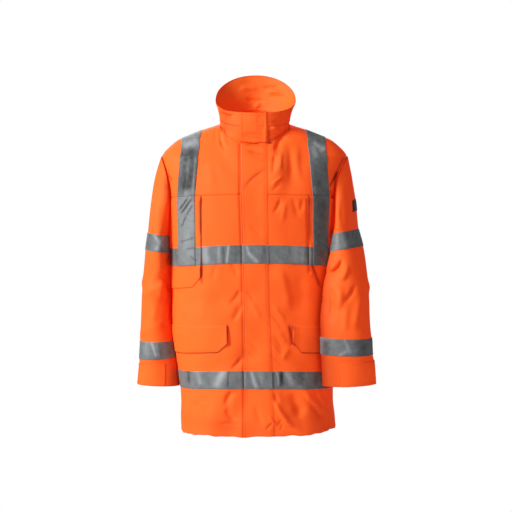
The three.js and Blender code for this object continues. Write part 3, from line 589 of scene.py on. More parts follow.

# Edges: the soft bumps beside them as height, distance and width, and the painted shade as strength and reach
STITCH_ROWS = (2.5, 8)
STITCHED = ((-0.55, STITCH_ROWS[0], 1.3), (-0.55, STITCH_ROWS[1], 1.3), (0.5, 5, 2))
EDGE_BUMPS = {
    "raw": ((-0.3, 0, 1.2),),
    "seam": ((-0.9, 0, 2.2),),
    "armhole": ((-1.3, 0, 2.2),),
    "soft": ((-1.2, 0, 5),),
    "flat": ((-1.8, 0, 6), (-0.3, STITCH_ROWS[1], 1.6)),
    "stitched": STITCHED,
    "laid": STITCHED,
    "open": STITCHED,
    "sewn": (*STITCHED, (-1.9, 0, 3.5)),
}
EDGE_SHADES = {
    "open": (1.0, 2.4),
    "laid": (0.35, 2),
    "armhole": (0.8, 2),
    "seam": (0.25, 1.5),
    "stitched": (0.4, 1.2),
}
TURNED_UNDER = ("stitched", "laid", "open", "sewn")
STITCHED_EDGES = (*TURNED_UNDER, "flat")
EDGE_ROUND, EDGE_FALL = 1.6, 0.98
RAW = ("raw",) * 4

# Grids: how fast their steps grow from an edge, and how many places measure a piece or the zip
EDGE_GROWTH = 1.35
MEASURES = 121
ZIP_MEASURES = 2000

# One stitch, and one tooth of the zip with its bevel, reach from the middle and distance from the zip's ends
STITCH_LENGTH, STITCH_PITCH, STITCH_RADIUS = 2.7, 3.6, 0.32
TOOTH = (2.6, 1.5, 2.0)
TOOTH_PITCH, TOOTH_BEVEL, TOOTH_REACH = 2.9, 0.28, 0.9
ZIP_END = 8

# Camera, lights and floor, in metres, watts and millimetres of film
TARGET = Vector((0, 0, -0.359))
DISTANCE = 4.2
ELEVATION = math.radians(3)
FRAME_WIDTH = 1.3926
SENSOR = 36
LIGHTS = (
    ("key_light", (-3.8, -2.3, 1.8), 1.4, 300),
    ("fill_light", (0.4, -4.4, 0.6), 2.4, 22),
    ("back_light", (-0.8, 3.6, 1.2), 2.4, 70),
)
FLOOR_RADIUS, FLOOR_HEIGHT, FLOOR_SIDES = 1.2, -1.35, 96
TINY = 1e-9


# Materials
def linear(code):
    """A colour of the screen as the light it stands for."""
    channels = [int(code[k : k + 2], 16) / 255 for k in (1, 3, 5)]
    return tuple(c / 12.92 if c <= 0.04045 else ((c + 0.055) / 1.055) ** 2.4 for c in channels) + (1.0,)


def fill(tree, node, inputs):
    """Gives a node's inputs their values or links."""
    for key, value in inputs.items():
        if isinstance(value, bpy.types.NodeSocket):
            tree.links.new(value, node.inputs[key])
        else:
            node.inputs[key].default_value = value


def add(tree, kind, inputs=None, **settings):
    """A new node with its settings, values and links."""
    node = tree.nodes.new(kind)
    for name, value in settings.items():
        setattr(node, name, value)
    fill(tree, node, inputs or {})
    return node


def new_material(name, inputs):
    """A material whose main shader has these values, with its node tree and that shader."""
    material = bpy.data.materials.new(name)
    material.use_nodes = True
    tree = material.node_tree
    shader = tree.nodes["Principled BSDF"]
    fill(tree, shader, inputs)
    return material, tree, shader


# Sizes of the patterns. The cloth's threads lie about 0.4 mm apart, which is too fine for this view, so its
# weave is drawn at 1.3 mm.
WEAVE = 1.3
RUMPLE = 29.4
TAPE_PATCH, TAPE_CRUMPLE = 20.83, 22.22
THREAD_TWIST = 1.11
WAVE_AT_SCALE_ONE = 2 * math.pi / 20
# Strength of the painted glow of the orange cloth, on its outer and on its inner side
PAINTED_GLOW, PAINTED_GLOW_INSIDE = 0.4, 0.2


def fluorescent_oxford(name, painted_glow):
    # Coated fluorescent polyester oxford: a matt plain weave with a painted red glow for its dye, so its
    # shadows stay red
    values = {
        "Roughness": 0.66,
        "Specular IOR Level": 0.2,
        "Sheen Weight": 0.06,
        "Sheen Roughness": 0.5,
        "Sheen Tint": linear("#FF8A3A"),
        "Emission Strength": painted_glow,
    }
    material, tree, shader = new_material(name, values)
    # The shade attribute is painted shade: it blends the colour and the glow to a dark red under folds,
    # beside edges and against the sleeves
    shade = add(tree, "ShaderNodeAttribute", attribute_name="shade").outputs["Fac"]
    for socket, lit, dark in (("Base Color", "#E66C23", "#942205"), ("Emission Color", "#FF0A00", "#700300")):
        colours = {"Factor": shade, "A": linear(lit), "B": linear(dark)}
        colour = add(tree, "ShaderNodeMix", colours, data_type="RGBA")
        fill(tree, shader, {socket: colour.outputs["Result"]})
    uv = add(tree, "ShaderNodeUVMap").outputs["UV"]
    wave = {"Vector": uv, "Scale": WAVE_AT_SCALE_ONE / (WEAVE * MM)}
    warp = add(tree, "ShaderNodeTexWave", wave, bands_direction="X").outputs["Fac"]
    weft = add(tree, "ShaderNodeTexWave", wave, bands_direction="Y").outputs["Fac"]
    weave = add(tree, "ShaderNodeMath", {0: warp, 1: weft}, operation="MULTIPLY")
    noise = {"Vector": uv, "Scale": 1 / (RUMPLE * MM), "Detail": 3.0, "Roughness": 0.5}
    rumple = add(tree, "ShaderNodeTexNoise", noise).outputs["Fac"]
    waves = {"Height": rumple, "Strength": 0.3, "Distance": 0.002}
    soft = add(tree, "ShaderNodeBump", waves).outputs["Normal"]
    threads = {"Height": weave.outputs[0], "Strength": 0.4, "Distance": 0.0002, "Normal": soft}
    fill(tree, shader, {"Normal": add(tree, "ShaderNodeBump", threads).outputs["Normal"]})
    return material


def retroreflective_tape():
    # Glass bead tape on a grey backing: dull grey, with painted silver highlights and painted shade in
    # streaks
    values = {"Metallic": 0.15, "Roughness": 0.55, "Specular IOR Level": 0.3}
    material, tree, shader = new_material("glass_bead_reflective_tape", values)
    uv = add(tree, "ShaderNodeUVMap").outputs["UV"]
    noise = {"Vector": uv, "Scale": 1 / (TAPE_PATCH * MM), "Detail": 3.0, "Roughness": 0.6}
    patches = add(tree, "ShaderNodeTexNoise", noise).outputs["Fac"]
    range_of = {"Value": patches, "From Min": 0.3, "From Max": 0.7, "To Min": -0.13, "To Max": 0.13}
    patch = add(tree, "ShaderNodeMapRange", range_of).outputs["Result"]
    # The sum named bend holds the painted highlights and shade with random patches, and sets how bright the
    # grey is
    shade = add(tree, "ShaderNodeAttribute", attribute_name="shade").outputs["Fac"]
    bend = add(tree, "ShaderNodeMath", {0: patch, 1: shade}, operation="ADD").outputs[0]
    range_of = {"Value": bend, "From Min": -0.6, "From Max": 0.9}
    bright = add(tree, "ShaderNodeMapRange", range_of).outputs["Result"]
    colours = {"Factor": bright, "A": linear("#2A2C2E"), "B": linear("#B2B6B8")}
    colour = add(tree, "ShaderNodeMix", colours, data_type="RGBA").outputs["Result"]
    noise = {"Vector": uv, "Scale": 1 / (TAPE_CRUMPLE * MM), "Detail": 3.0, "Roughness": 0.55}
    crumple = add(tree, "ShaderNodeTexNoise", noise).outputs["Fac"]
    dents = {"Height": crumple, "Strength": 0.6, "Distance": 0.003}
    bump = add(tree, "ShaderNodeBump", dents).outputs["Normal"]
    fill(tree, shader, {"Base Color": colour, "Normal": bump})
    return material


def moulded_rubber():
    # Soft black moulded badge: smooth, with a faint shine
    return new_material("black_moulded_badge", {"Base Color": linear("#17181A"), "Roughness": 0.5})[0]


def spun_thread(name, dark, light):
    # Spun polyester sewing thread: matt and a little hairy, so it takes the light without a shine
    material, tree, shader = new_material(name, {"Roughness": 0.8, "Specular IOR Level": 0.15})
    place = add(tree, "ShaderNodeTexCoord").outputs["Object"]
    noise = {"Vector": place, "Scale": 1 / (THREAD_TWIST * MM), "Detail": 1.0}
    twist = add(tree, "ShaderNodeTexNoise", noise).outputs["Fac"]
    colours = {"Factor": twist, "A": linear(dark), "B": linear(light)}
    colour = add(tree, "ShaderNodeMix", colours, data_type="RGBA").outputs["Result"]
    fill(tree, shader, {"Base Color": colour})
    return material


def moulded_teeth():
    # Zip teeth moulded in acetal: dense and smooth, with small soft highlights
    return new_material("moulded_acetal_teeth", {"Base Color": linear("#B8431A"), "Roughness": 0.35})[0]


def white_card():
    # Card with no coating: flat white, with no shine
    return new_material("matt_white_card", {"Base Color": linear("#E9E8E6"), "Roughness": 0.9})[0]


ORANGE = fluorescent_oxford("fluorescent_polyester_oxford", PAINTED_GLOW)
# The inner side is a shaded copy: the same cloth with a weaker painted glow
INSIDE = fluorescent_oxford("fluorescent_polyester_oxford_inside", PAINTED_GLOW_INSIDE)
THREAD = spun_thread("spun_polyester_thread_orange", "#C2481A", "#E8682E")
TAPE_THREAD = spun_thread("spun_polyester_thread_grey", "#6E7072", "#8E9092")
TEETH = moulded_teeth()
SILVER = retroreflective_tape()
BLACK = moulded_rubber()
CARD = white_card()


# Curves and relief
def curve(xs, ys):
    """A smooth curve through rows of values that never swings past them."""
    xs = np.asarray(xs, float)
    ys = np.asarray(ys, float)
    steps = np.diff(xs)
    slopes = np.diff(ys, axis=0) / steps.reshape((-1,) + (1,) * (ys.ndim - 1))
    before = np.concatenate([slopes[:1], slopes])
    after = np.concatenate([slopes, slopes[-1:]])
    total = before + after
    tangents = np.where(before * after > 0, 2 * before * after / np.where(total == 0, 1, total), 0)

    def at(x):
        x = np.asarray(x, float)
        i = np.clip(np.searchsorted(xs, x, side="right") - 1, 0, len(xs) - 2)
        step = steps[i].reshape(x.shape + (1,) * (ys.ndim - 1))
        t = np.clip((x - xs[i]).reshape(step.shape) / step, 0, 1)
        rest = 1 - t
        ends = rest * rest * (1 + 2 * t) * ys[i] + t * t * (3 - 2 * t) * ys[i + 1]
        return ends + step * t * rest * (rest * tangents[i] - t * tangents[i + 1])

    return at


def smooth(share):
    """Goes from 0 to 1 with soft ends."""
    share = np.clip(share, 0, 1)
    return share * share * (3 - 2 * share)


def bell(distance):
    """A soft bump: 1 in its middle and next to nothing two widths away."""
    return np.exp(-(distance**2))


def unit(vectors):
    return vectors / np.maximum(np.linalg.norm(vectors, axis=-1, keepdims=True), TINY)


def lengths_along(points, axis):
    """Distances along the lines of a grid of points, or of one line, from their starts."""
    steps = np.linalg.norm(np.diff(points, axis=axis), axis=-1)
    zero = np.zeros_like(np.take(steps, [0], axis=axis))
    return np.concatenate([zero, np.cumsum(steps, axis=axis)], axis=axis)


def on_line(distance, along, line):
    """A line's values at distances along it."""
    return np.stack([np.interp(distance, along, line[:, k]) for k in range(line.shape[1])], -1)


def beside_line(x, z, start_x, start_z, end_x, end_z):
    """Each place's share of the way along a line, and its distance to one side of it."""
    length = math.hypot(end_x - start_x, end_z - start_z)
    c, s = (end_x - start_x) / length, (end_z - start_z) / length
    x, z = x - start_x, z - start_z
    return (x * c + z * s) / length, z * c - x * s


def folds(x, z, rows):
    total = np.zeros(np.shape(x))
    for x0, z0, turn, long, wide, high in rows:
        c, s = math.cos(math.radians(turn)), math.sin(math.radians(turn))
        along = (x - x0) * c + (z - z0) * s
        across = (z - z0) * c - (x - x0) * s
        total += high * bell(along / long) * bell(across / wide)
    return total


def creases(x, z, rows):
    """Soft troughs and ridges that die out at both ends, each steeper on one side where it is skewed."""
    total = np.zeros(np.shape(x))
    for *line, bow, wide, high, skew in rows:
        along, across = beside_line(x, z, *line)
        across = across - 4 * bow * along * (1 - along)
        width = wide * np.where(across > 0, 1 + skew, 1 - skew)
        taper = smooth(np.minimum(along, 1 - along) / CREASE_TAPER)
        total += CREASE_DEPTH * high * taper * bell(across / width)
    return total


def streaks(x, z, rows):
    """Soft strokes that fade out over a share of their length at each end."""
    total = np.zeros(np.shape(x))
    for *line, wide, strength in rows:
        along, across = beside_line(x, z, *line)
        inside = smooth(along / STREAK_FADE + 0.5) * smooth((1 - along) / STREAK_FADE + 0.5)
        total += strength * inside * bell(across / wide)
    return total


def undulation(x, z, seed):
    """Gentle unevenness that no piece of hanging cloth is free of."""
    rng = np.random.default_rng(seed)
    total = np.zeros(np.shape(x))
    for wave in UNEVEN_WAVES:
        turn = rng.uniform(-UNEVEN_TURN, UNEVEN_TURN)
        phase = rng.uniform(0, math.tau)
        bend = rng.uniform(0, math.tau)
        along = x * math.cos(turn) + z * math.sin(turn) * UNEVEN_SLANT
        swing = UNEVEN_SWING * np.sin(z / UNEVEN_SWING_LENGTH + bend)
        total += UNEVEN_HEIGHT * wave * np.sin(math.tau * along / wave + phase + swing)
    return total


# The body
section = curve(SECTIONS[:, 0], SECTIONS[:, 1:])
NECK_MIDDLE = section(NECK_SIDE)[4]


def hem_wave(turn):
    total = 0
    for high, count, phase, bend in HEM_WAVES:
        total = total + high * np.sin(count * turn + phase + bend * np.sin(3 * turn))
    return total


def column_curve(column):
    _, _, yoke, *lower = column
    return curve(COLUMN_HEIGHTS, [*reversed(lower), yoke])


FRONT_COLUMNS = [
    (side + " " + name, *rest)
    for side, columns in (("right", RIGHT_COLUMNS), ("left", LEFT_COLUMNS))
    for name, *rest in columns
]
TROUGH_CURVES = [column_curve(next(c for c in FRONT_COLUMNS if c[0] == name)) for name, *_ in EDGE_TROUGHS]


def edge_troughs(x, z):
    total = np.zeros(np.shape(x))
    for x_at, (_, top, bottom, right, wide, deep) in zip(TROUGH_CURVES, EDGE_TROUGHS):
        inside = smooth((top - z) / TROUGH_FADE) * smooth((z - bottom) / TROUGH_FADE)
        total -= deep * inside * bell((x - x_at(z) - right) / wide)
    return total


def body_point(turn, z):
    half, front_deep, back_deep, square, mid_x, mid_y = np.moveaxis(section(z), -1, 0)
    power = 2 / square
    sine, cosine = np.sin(turn), np.cos(turn)
    is_front = cosine >= 0
    x = mid_x + np.sign(sine) * half * np.abs(sine) ** power
    reach = np.abs(cosine) ** power
    fade = np.minimum(1, 2 * np.abs(cosine))
    on_front = folds(x, z, FRONT_FOLDS) + creases(x, z, FRONT_CREASES) + undulation(x, z, FRONT_SEED)
    on_front = on_front + edge_troughs(x, z)
    on_back = folds(x, z, BACK_FOLDS) + creases(x, z, BACK_CREASES) + undulation(x, z, BACK_SEED)
    deep = np.where(is_front, front_deep, back_deep) * reach + np.where(is_front, on_front, on_back) * fade
    return np.stack([x, mid_y - np.where(is_front, 1, -1) * deep, z], -1)


def turn_at(x, z):
    half, _, _, square, mid_x, _ = np.moveaxis(section(z), -1, 0)
    share = np.clip(np.abs(x - mid_x) / half, 0, 1)
    return np.sign(x - mid_x) * np.arcsin(share ** (square / 2))


def ridge_height(x):
    """The height where the shoulder's ridge is as far out as x, found by halving."""
    low, high = ARMHOLE_TOP, NECK_SIDE
    for _ in range(HALVINGS):
        middle = (low + high) / 2
        at = section(middle)
        if at[0] > abs(x - at[4]):
            low = middle
        else:
            high = middle
    return low


def neck_height(x, is_back):
    share = min(abs(x - NECK_MIDDLE) / NECK_HALF, 1)
    if is_back:
        return NECK_SIDE + (NECK_BACK - NECK_SIDE) * math.sqrt(1 - share * share)
    return NECK_SIDE + (NECK_FRONT - NECK_SIDE) * (1 - share**NECK_SQUARE) ** (1 / NECK_SQUARE)


def edge_turn(side, z, is_back):
    """The angle round the body of the armhole's edge, or of the side seam below it."""
    middle = (ARMHOLE_TOP + ARMHOLE_BOTTOM) / 2
    share = min(abs(z - middle) / (ARMHOLE_TOP - middle), 1)
    reach = 0 if z <= ARMHOLE_BOTTOM else (1 - share**ARMHOLE_SQUARE) ** (1 / ARMHOLE_SQUARE)
    _, front_deep, back_deep, square, _, _ = section(z)
    to_front, to_back = ARMHOLE_REACH[side]
    depth = to_back * reach / back_deep if is_back else to_front * reach / front_deep
    return side * math.acos(depth ** (square / 2))


def line_height(line, x):
    _, z, drop, lift = line
    return z - drop * (x / DROP_WIDTH) ** 2 + lift * min(max(x / DROP_WIDTH, 0), 1) ** 3


class Panel:
    """A panel's places between its named lines. i counts the upright ones and j the level ones."""

    def __init__(self, columns, lines, is_back):
        self.is_back = is_back
        self.lines = lines
        self.columns = [column[0] for column in columns]
        self.rows = [line[0] for line in lines]
        inner = [self.column_places(column) for column in columns]
        side = int(math.copysign(1, columns[0][1]))
        places = [*self.edge_places(side, inner[0]), *inner, *reversed(self.edge_places(-side, inner[-1]))]
        self.width, self.height = len(places), len(places[0])
        turn, z = np.moveaxis(np.array(places, float), -1, 0)
        turn, z = self.refined(turn, z)
        turn, z = self.refined(turn.T, z.T)
        self.turn, self.z = turn.T, z.T

    def turned(self, turn):
        return math.pi - turn if self.is_back else turn

    def column_places(self, column):
        """An upright line's places: on each level line, then up the yoke to the neck or the ridge."""
        _, top, yoke, *_ = column
        x_at = column_curve(column)
        places = []
        for line in self.lines:
            z = line[1]
            for _ in range(PASSES):
                z = line_height(line, x_at(z))
            places.append((self.turned(turn_at(x_at(z), z)), z))
        start = line_height(self.lines[-1], yoke)
        is_neck = abs(top - NECK_MIDDLE) < NECK_HALF - NECK_MARGIN
        end = neck_height(top, self.is_back) if is_neck else ridge_height(top)
        for rest in YOKE_SHARES:
            z = end + (start - end) * rest
            on_ridge = rest == 0 and not is_neck
            turn = math.copysign(math.pi / 2, top) if on_ridge else turn_at(top + (yoke - top) * rest, z)
            places.append((self.turned(turn), z))
        return places

    def edge_places(self, side, nearest):
        """The side seam and the armhole's edge, then lines between them and the nearest column."""
        heights = [line_height(line, side * section(line[1])[0]) for line in self.lines]
        heights += [ARMHOLE_TOP + (heights[-1] - ARMHOLE_TOP) * rest for rest in YOKE_SHARES]
        first = np.array([(self.turned(edge_turn(side, z, self.is_back)), z) for z in heights])
        last = np.array(nearest, float)
        return [first + (last - first) * step / EDGE_COLUMNS for step in range(EDGE_COLUMNS)]

    def refined(self, turn, z):
        """Adds places between those of the second index, on smooth curves."""
        points = body_point(turn, z)
        lengths = np.linalg.norm(np.diff(points, axis=1), axis=2)
        count = turn.shape[1]
        fine = np.linspace(0, count - 1, (count - 1) * CELLS + 1)
        turns, heights = [], []
        for i in range(turn.shape[0]):
            along = np.concatenate([[0], np.cumsum(np.maximum(lengths[i], SHORTEST))])
            at = curve(along, np.stack([turn[i], z[i]], -1))(np.interp(fine, np.arange(count), along))
            turns.append(at[:, 0])
            heights.append(at[:, 1])
        return np.array(turns), np.array(heights)

    def place(self, i, j):
        u = np.clip(np.asarray(i, float) * CELLS, 0, self.turn.shape[0] - 1 - TINY)
        v = np.clip(np.asarray(j, float) * CELLS, 0, self.turn.shape[1] - 1 - TINY)
        u0, v0 = u.astype(int), v.astype(int)
        s, t = u - u0, v - v0

        def blend(values):
            low = values[u0, v0] * (1 - t) + values[u0, v0 + 1] * t
            high = values[u0 + 1, v0] * (1 - t) + values[u0 + 1, v0 + 1] * t
            return low * (1 - s) + high * s

        turn, z = blend(self.turn), blend(self.z)
        return turn, z + hem_wave(turn) * (1 - smooth(j))

    def point(self, i, j):
        return body_point(*self.place(i, j))

    def edge_line(self, i, inner_i, j, inner_j):
        """Places on an edge, and the directions that lead away from the panel there."""
        at = self.point(i, j)
        return at, unit(at - self.point(inner_i, inner_j))

    def column(self, name, side=None):
        if side is None or side == "left" and self is back:
            return EDGE_COLUMNS + self.columns.index(name)
        return EDGE_COLUMNS + len(self.columns) - 1 - self.columns[::-1].index(name)

    def row(self, name):
        return self.rows.index(name)


front = Panel(FRONT_COLUMNS, LINES, False)
back = Panel(BACK_COLUMNS, [line for line in LINES if not line[0].endswith("Clip")], True)


# Sleeves
def clear_of_body(points, clearance):
    half, front_deep, back_deep, square, mid_x, mid_y = np.moveaxis(section(points[..., 2]), -1, 0)
    right = points[..., 0] - mid_x
    behind = points[..., 1] - mid_y
    deep = np.where(behind < 0, front_deep, back_deep) + clearance
    sides = (np.abs(right) / (half + clearance)) ** square
    share = (sides + (np.abs(behind) / deep) ** square) ** (1 / square)
    push = 1 / np.minimum(share, 1)
    return np.stack([mid_x + right * push, mid_y + behind * push, points[..., 2]], -1)


class Sleeve:
    """A sleeve's places. i is the angle round it, 0 beside the body and 90 in front, and j its rows."""

    def __init__(self, side):
        self.side = side
        self.height = CAP_ROWS + len(RING_NAMES)
        rings = RINGS[side]
        heights = rings[:, :2].mean(axis=1)
        self.along = np.concatenate([[0], np.cumsum(-np.diff(heights))])
        self.ring = curve(self.along, rings)
        self.start_angles, self.starts, self.node_angles = self.armhole()

    def armhole(self):
        """Where the sleeve starts: the angles and places round the armhole, and the angles of its nodes."""
        places, nodes = [], []
        for panel in (front, back):
            at_start = (self.side < 0) == (panel is front)
            edge, inner = (0, 1) if at_start else (panel.width - 1, panel.width - 2)
            low, top = panel.row("armpit"), panel.height - 1
            rows = np.linspace(low, top, (top - low) * NODE_STEPS + 1)
            at, away = panel.edge_line(np.full(len(rows), edge), np.full(len(rows), inner), rows, rows)
            out = np.array([float(self.side), 0, 0])
            normal = unit(out - away * (away @ out)[:, None])
            place = at + away * GAP + normal * SLEEVE_PROUD
            marks = np.arange(len(rows)) % NODE_STEPS == 0
            if panel is back:
                place, marks = place[::-1][1:-1], marks[::-1][1:-1]
            places.append(place)
            nodes.append(marks)
        places, nodes = np.concatenate(places), np.concatenate(nodes)
        along = lengths_along(np.vstack([places, places[:1]]), 0)
        total, along = along[-1], along[:-1]
        first = along[np.argmax(places[:, 2])]
        angles = np.where(along <= first, 180 * along / first, 180 + 180 * (along - first) / (total - first))
        return np.append(angles, 360), np.vstack([places, places[:1]]), angles[nodes]

    def point(self, i, j):
        i, j = np.broadcast_arrays(np.asarray(i, float), np.asarray(j, float))
        degrees = i % 360
        angle = np.radians(degrees)
        start = on_line(degrees, self.start_angles, self.starts)
        along = np.interp(np.clip(j - CAP_ROWS, 0, None), np.arange(len(self.along)), self.along)
        share = np.interp(np.clip(j, 0, CAP_ROWS), np.arange(CAP_ROWS + 1), CAP_SHARES)[..., None]
        place = self.ring_point(self.ring(along), angle)
        swell = np.sin(np.pi * share[..., 0])
        cap = start + (place - start) * share
        cap[..., 0] += self.side * CAP_BULGE_OUT * swell * np.maximum(0, -np.cos(angle))
        cap[..., 1] -= CAP_BULGE_DEEP * swell * np.sin(angle)
        place = np.where(j[..., None] < CAP_ROWS, cap, place)
        out = np.stack([-self.side * np.cos(angle), -np.sin(angle), 0 * angle], -1)
        relief = self.relief(degrees, angle, place) * smooth(j / RELIEF_ROWS)
        clearance = SLEEVE_PROUD + (SLEEVE_CLEARANCE[self.side] - SLEEVE_PROUD) * share[..., 0]
        return clear_of_body(place + out * relief[..., None], clearance)

    def ring_point(self, ring, angle):
        """Places on leaning rings, each as wide and as deep as its row of the table says."""
        z_out, z_in, reach_out, reach_in, mid_y, deep, lean = np.moveaxis(ring, -1, 0)
        lean = np.radians(lean)
        extent = (reach_out - reach_in) / 2
        leaning = deep * np.sin(lean)
        wide = np.sqrt(np.maximum(extent**2 - leaning**2, (RING_THINNEST * extent) ** 2)) / np.cos(lean)
        across = -wide * np.cos(angle)
        ahead = deep * np.sin(angle)
        outward = (reach_out + reach_in) / 2 + across * np.cos(lean) - ahead * np.sin(lean)
        y = mid_y - ahead * np.cos(lean) - across * np.sin(lean)
        share = (1 - np.cos(angle)) / 2
        return np.stack([self.side * outward, y, z_in + (z_out - z_in) * share], -1)

    def relief(self, degrees, angle, place):
        x, z = place[..., 0], place[..., 2]
        total = undulation(degrees * SLEEVE_DEGREE, z, SLEEVE_SEED + self.side)
        for z0, turn, long, wide, high in SLEEVE_FOLDS:
            beside = (degrees - turn + 540) % 360 - 180
            total += high * bell(beside / long) * bell((z - z0 + beside * SLEEVE_FOLD_SLANT) / wide)
        facing = np.clip(FACING * np.sin(angle), -1, 1)
        shown = np.maximum(facing, 0) * creases(x, z, SLEEVE_CREASES[self.side, "front"])
        hidden = np.maximum(-facing, 0) * creases(x, z, SLEEVE_CREASES[self.side, "back"])
        return total + SLEEVE_CREASE_SHARE * (shown + hidden)

    def row(self, name):
        return CAP_ROWS + RING_NAMES.index(name)

    def stretch(self, low, high):
        """The nodes' angles nearest to the two given, inside them."""
        inside = self.node_angles[(self.node_angles >= low) & (self.node_angles <= high)]
        return inside.min(), inside.max()


# Cloth
def spread(length, step, fine):
    """Distances along a piece, close together near its ends and a step apart in the middle."""
    marks, at, size = [0.0], 0.0, fine
    while at + size < length / 2 and size < step:
        at += size
        marks.append(at)
        size *= EDGE_GROWTH
    count = max(1, round((length - 2 * at) / step))
    middle = np.linspace(at, length - at, count + 1)
    ends = length - np.array(marks[::-1])
    return np.concatenate([marks[:-1], middle, ends[1:]])


def grid_normals(points, is_tube):
    if is_tube:
        across = np.roll(points, -1, 0) - np.roll(points, 1, 0)
    else:
        across = np.gradient(points, axis=0)
    return unit(np.cross(across, np.gradient(points, axis=1)))


def open_grid(surface, i_span, j_span, step, fine, low=None):
    """The places of a piece's grid, spread evenly over the cloth."""
    i_all = np.linspace(*i_span, MEASURES)
    j_all = np.linspace(*j_span, MEASURES)
    across = lengths_along(surface.point(i_all, np.full(MEASURES, sum(j_span) / 2)), 0)
    up = lengths_along(surface.point(np.full(MEASURES, sum(i_span) / 2), j_all), 0)
    i = np.interp(spread(across[-1], step, fine), across, i_all)
    share = np.interp(spread(up[-1], step, fine), up, np.linspace(0, 1, MEASURES))
    start = np.full(len(i), float(j_span[0])) if low is None else low(i)
    j = start[:, None] + (j_span[1] - start[:, None]) * share[None, :]
    return np.broadcast_to(i[:, None], j.shape).copy(), j


def tube_grid(sleeve, j_span, step, fine):
    """The places of a piece that goes all round a sleeve."""
    loop = sleeve.point(np.linspace(0, 360, MEASURES), float(sleeve.row("overElbow")))
    count = round(lengths_along(loop, 0)[-1] / step)
    turns = -sleeve.side * np.linspace(0, 360, count, endpoint=False)
    _, j = open_grid(sleeve, (0, 90), j_span, step, fine)
    return np.broadcast_arrays(turns[:, None], j[:1])


def edge_profile(distance, kind):
    height = sum(high * bell((distance - at) / wide) for high, at, wide in EDGE_BUMPS[kind])
    if kind in TURNED_UNDER:
        height = height - 1 + np.sqrt(1 - EDGE_FALL * (1 - np.clip(distance / EDGE_ROUND, 0, 1)) ** 2)
    return height


def edge_shade(distance, kind):
    """How much painted shade darkens the cloth beside an edge, where a narrow gap would take the light."""
    most, reach = EDGE_SHADES.get(kind, (0, 1))
    return most * bell(distance / reach)


# Painted shadows on the front's orange cloth
def front_shadows(i, j, points):
    return np.where(points[..., 1] < 0, streaks(points[..., 0], points[..., 2], FRONT_SHADOWS), 0)


def linked(name, corners, faces, material):
    """A new piece in the scene from its corners in millimetres and its faces."""
    mesh = bpy.data.meshes.new(name)
    mesh.from_pydata((corners * MM).tolist(), [], faces.tolist())
    mesh.materials.append(material)
    piece = bpy.data.objects.new(name, mesh)
    bpy.context.collection.objects.link(piece)
    return piece


def corners_of_quads(grid, is_tube):
    """The values of a grid at the four corners of each of its quads."""
    near, far = (grid, np.roll(grid, -1, 0)) if is_tube else (grid[:-1], grid[1:])
    return np.stack([near[:, :-1], far[:, :-1], far[:, 1:], near[:, 1:]], 2)


def make_piece(name, points, uv, shade, is_tube, thickness, material):
    n, m = points.shape[:2]
    quads = corners_of_quads(np.arange(n * m).reshape(n, m), is_tube)
    piece = linked(name, points.reshape(-1, 3), quads.reshape(-1, 4), material)
    mesh = piece.data
    if is_tube:
        uv = np.concatenate([uv, uv[:1] + [[uv[-1, 0, 0] + uv[1, 0, 0], 0]]])
    layer = mesh.uv_layers.new(name="cloth")
    layer.data.foreach_set("uv", (corners_of_quads(uv, False).reshape(-1, 2) * MM).ravel())
    # The shade attribute: painted shade on the orange cloth, painted highlights and shade on the tapes
    shades = mesh.attributes.new("shade", "FLOAT", "POINT")
    shades.data.foreach_set("value", shade.ravel())
    mesh.polygons.foreach_set("use_smooth", [True] * len(mesh.polygons))
    shell = piece.modifiers.new("thickness", "SOLIDIFY")
    shell.thickness = thickness * MM
    shell.offset = -1
    if material is ORANGE:
        # the inner side gets a weaker painted glow, as if less light reached the dye there
        mesh.materials.append(INSIDE)
        shell.material_offset = 1
    return piece


def cloth(
    name, surface, i_span, j_span, level, thickness, material=ORANGE, slot="shell_cloth",
    step=4, fine=1.2, low=None, lift=None, painted_shading=None, edges=("seam",) * 4,
):
    """A piece of cloth over part of a surface, or all round a sleeve when i_span is None.

    edges are the kinds of its start and end along i, then along j. low gives the row of its lower edge, lift
    its height above the surface and painted_shading its painted shade and painted highlights.
    """
    is_tube = i_span is None
    if is_tube:
        i, j = tube_grid(surface, j_span, step, fine)
    else:
        i, j = open_grid(surface, i_span, j_span, step, fine, low)
    points = surface.point(i, j)
    normals = grid_normals(points, is_tube)
    across, up = lengths_along(points, 0), lengths_along(points, 1)
    sides = list(zip((across, across[-1:] - across, up, up[:, -1:] - up), edges))
    if is_tube:
        sides = sides[2:]
    height = level + thickness + sum(edge_profile(distance, kind) for distance, kind in sides)
    # The painted shade beside its edges, then the painted shade or highlights that it is given
    shade = sum(edge_shade(distance, kind) for distance, kind in sides)
    if lift is not None:
        height = height + lift(i, j, points)
    if painted_shading is not None:
        shade = shade + painted_shading(i, j, points)
    points = points + normals * height[..., None]
    uv = np.stack([across, up], -1)
    piece = make_piece(name + "_cloth", points, uv, shade, is_tube, thickness, material)
    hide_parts(name)
    dress(piece)
    topstitch(name, points, is_tube, edges, slot)


def dress(piece):
    """Attaches a piece to its body, the root."""
    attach(piece, "root")


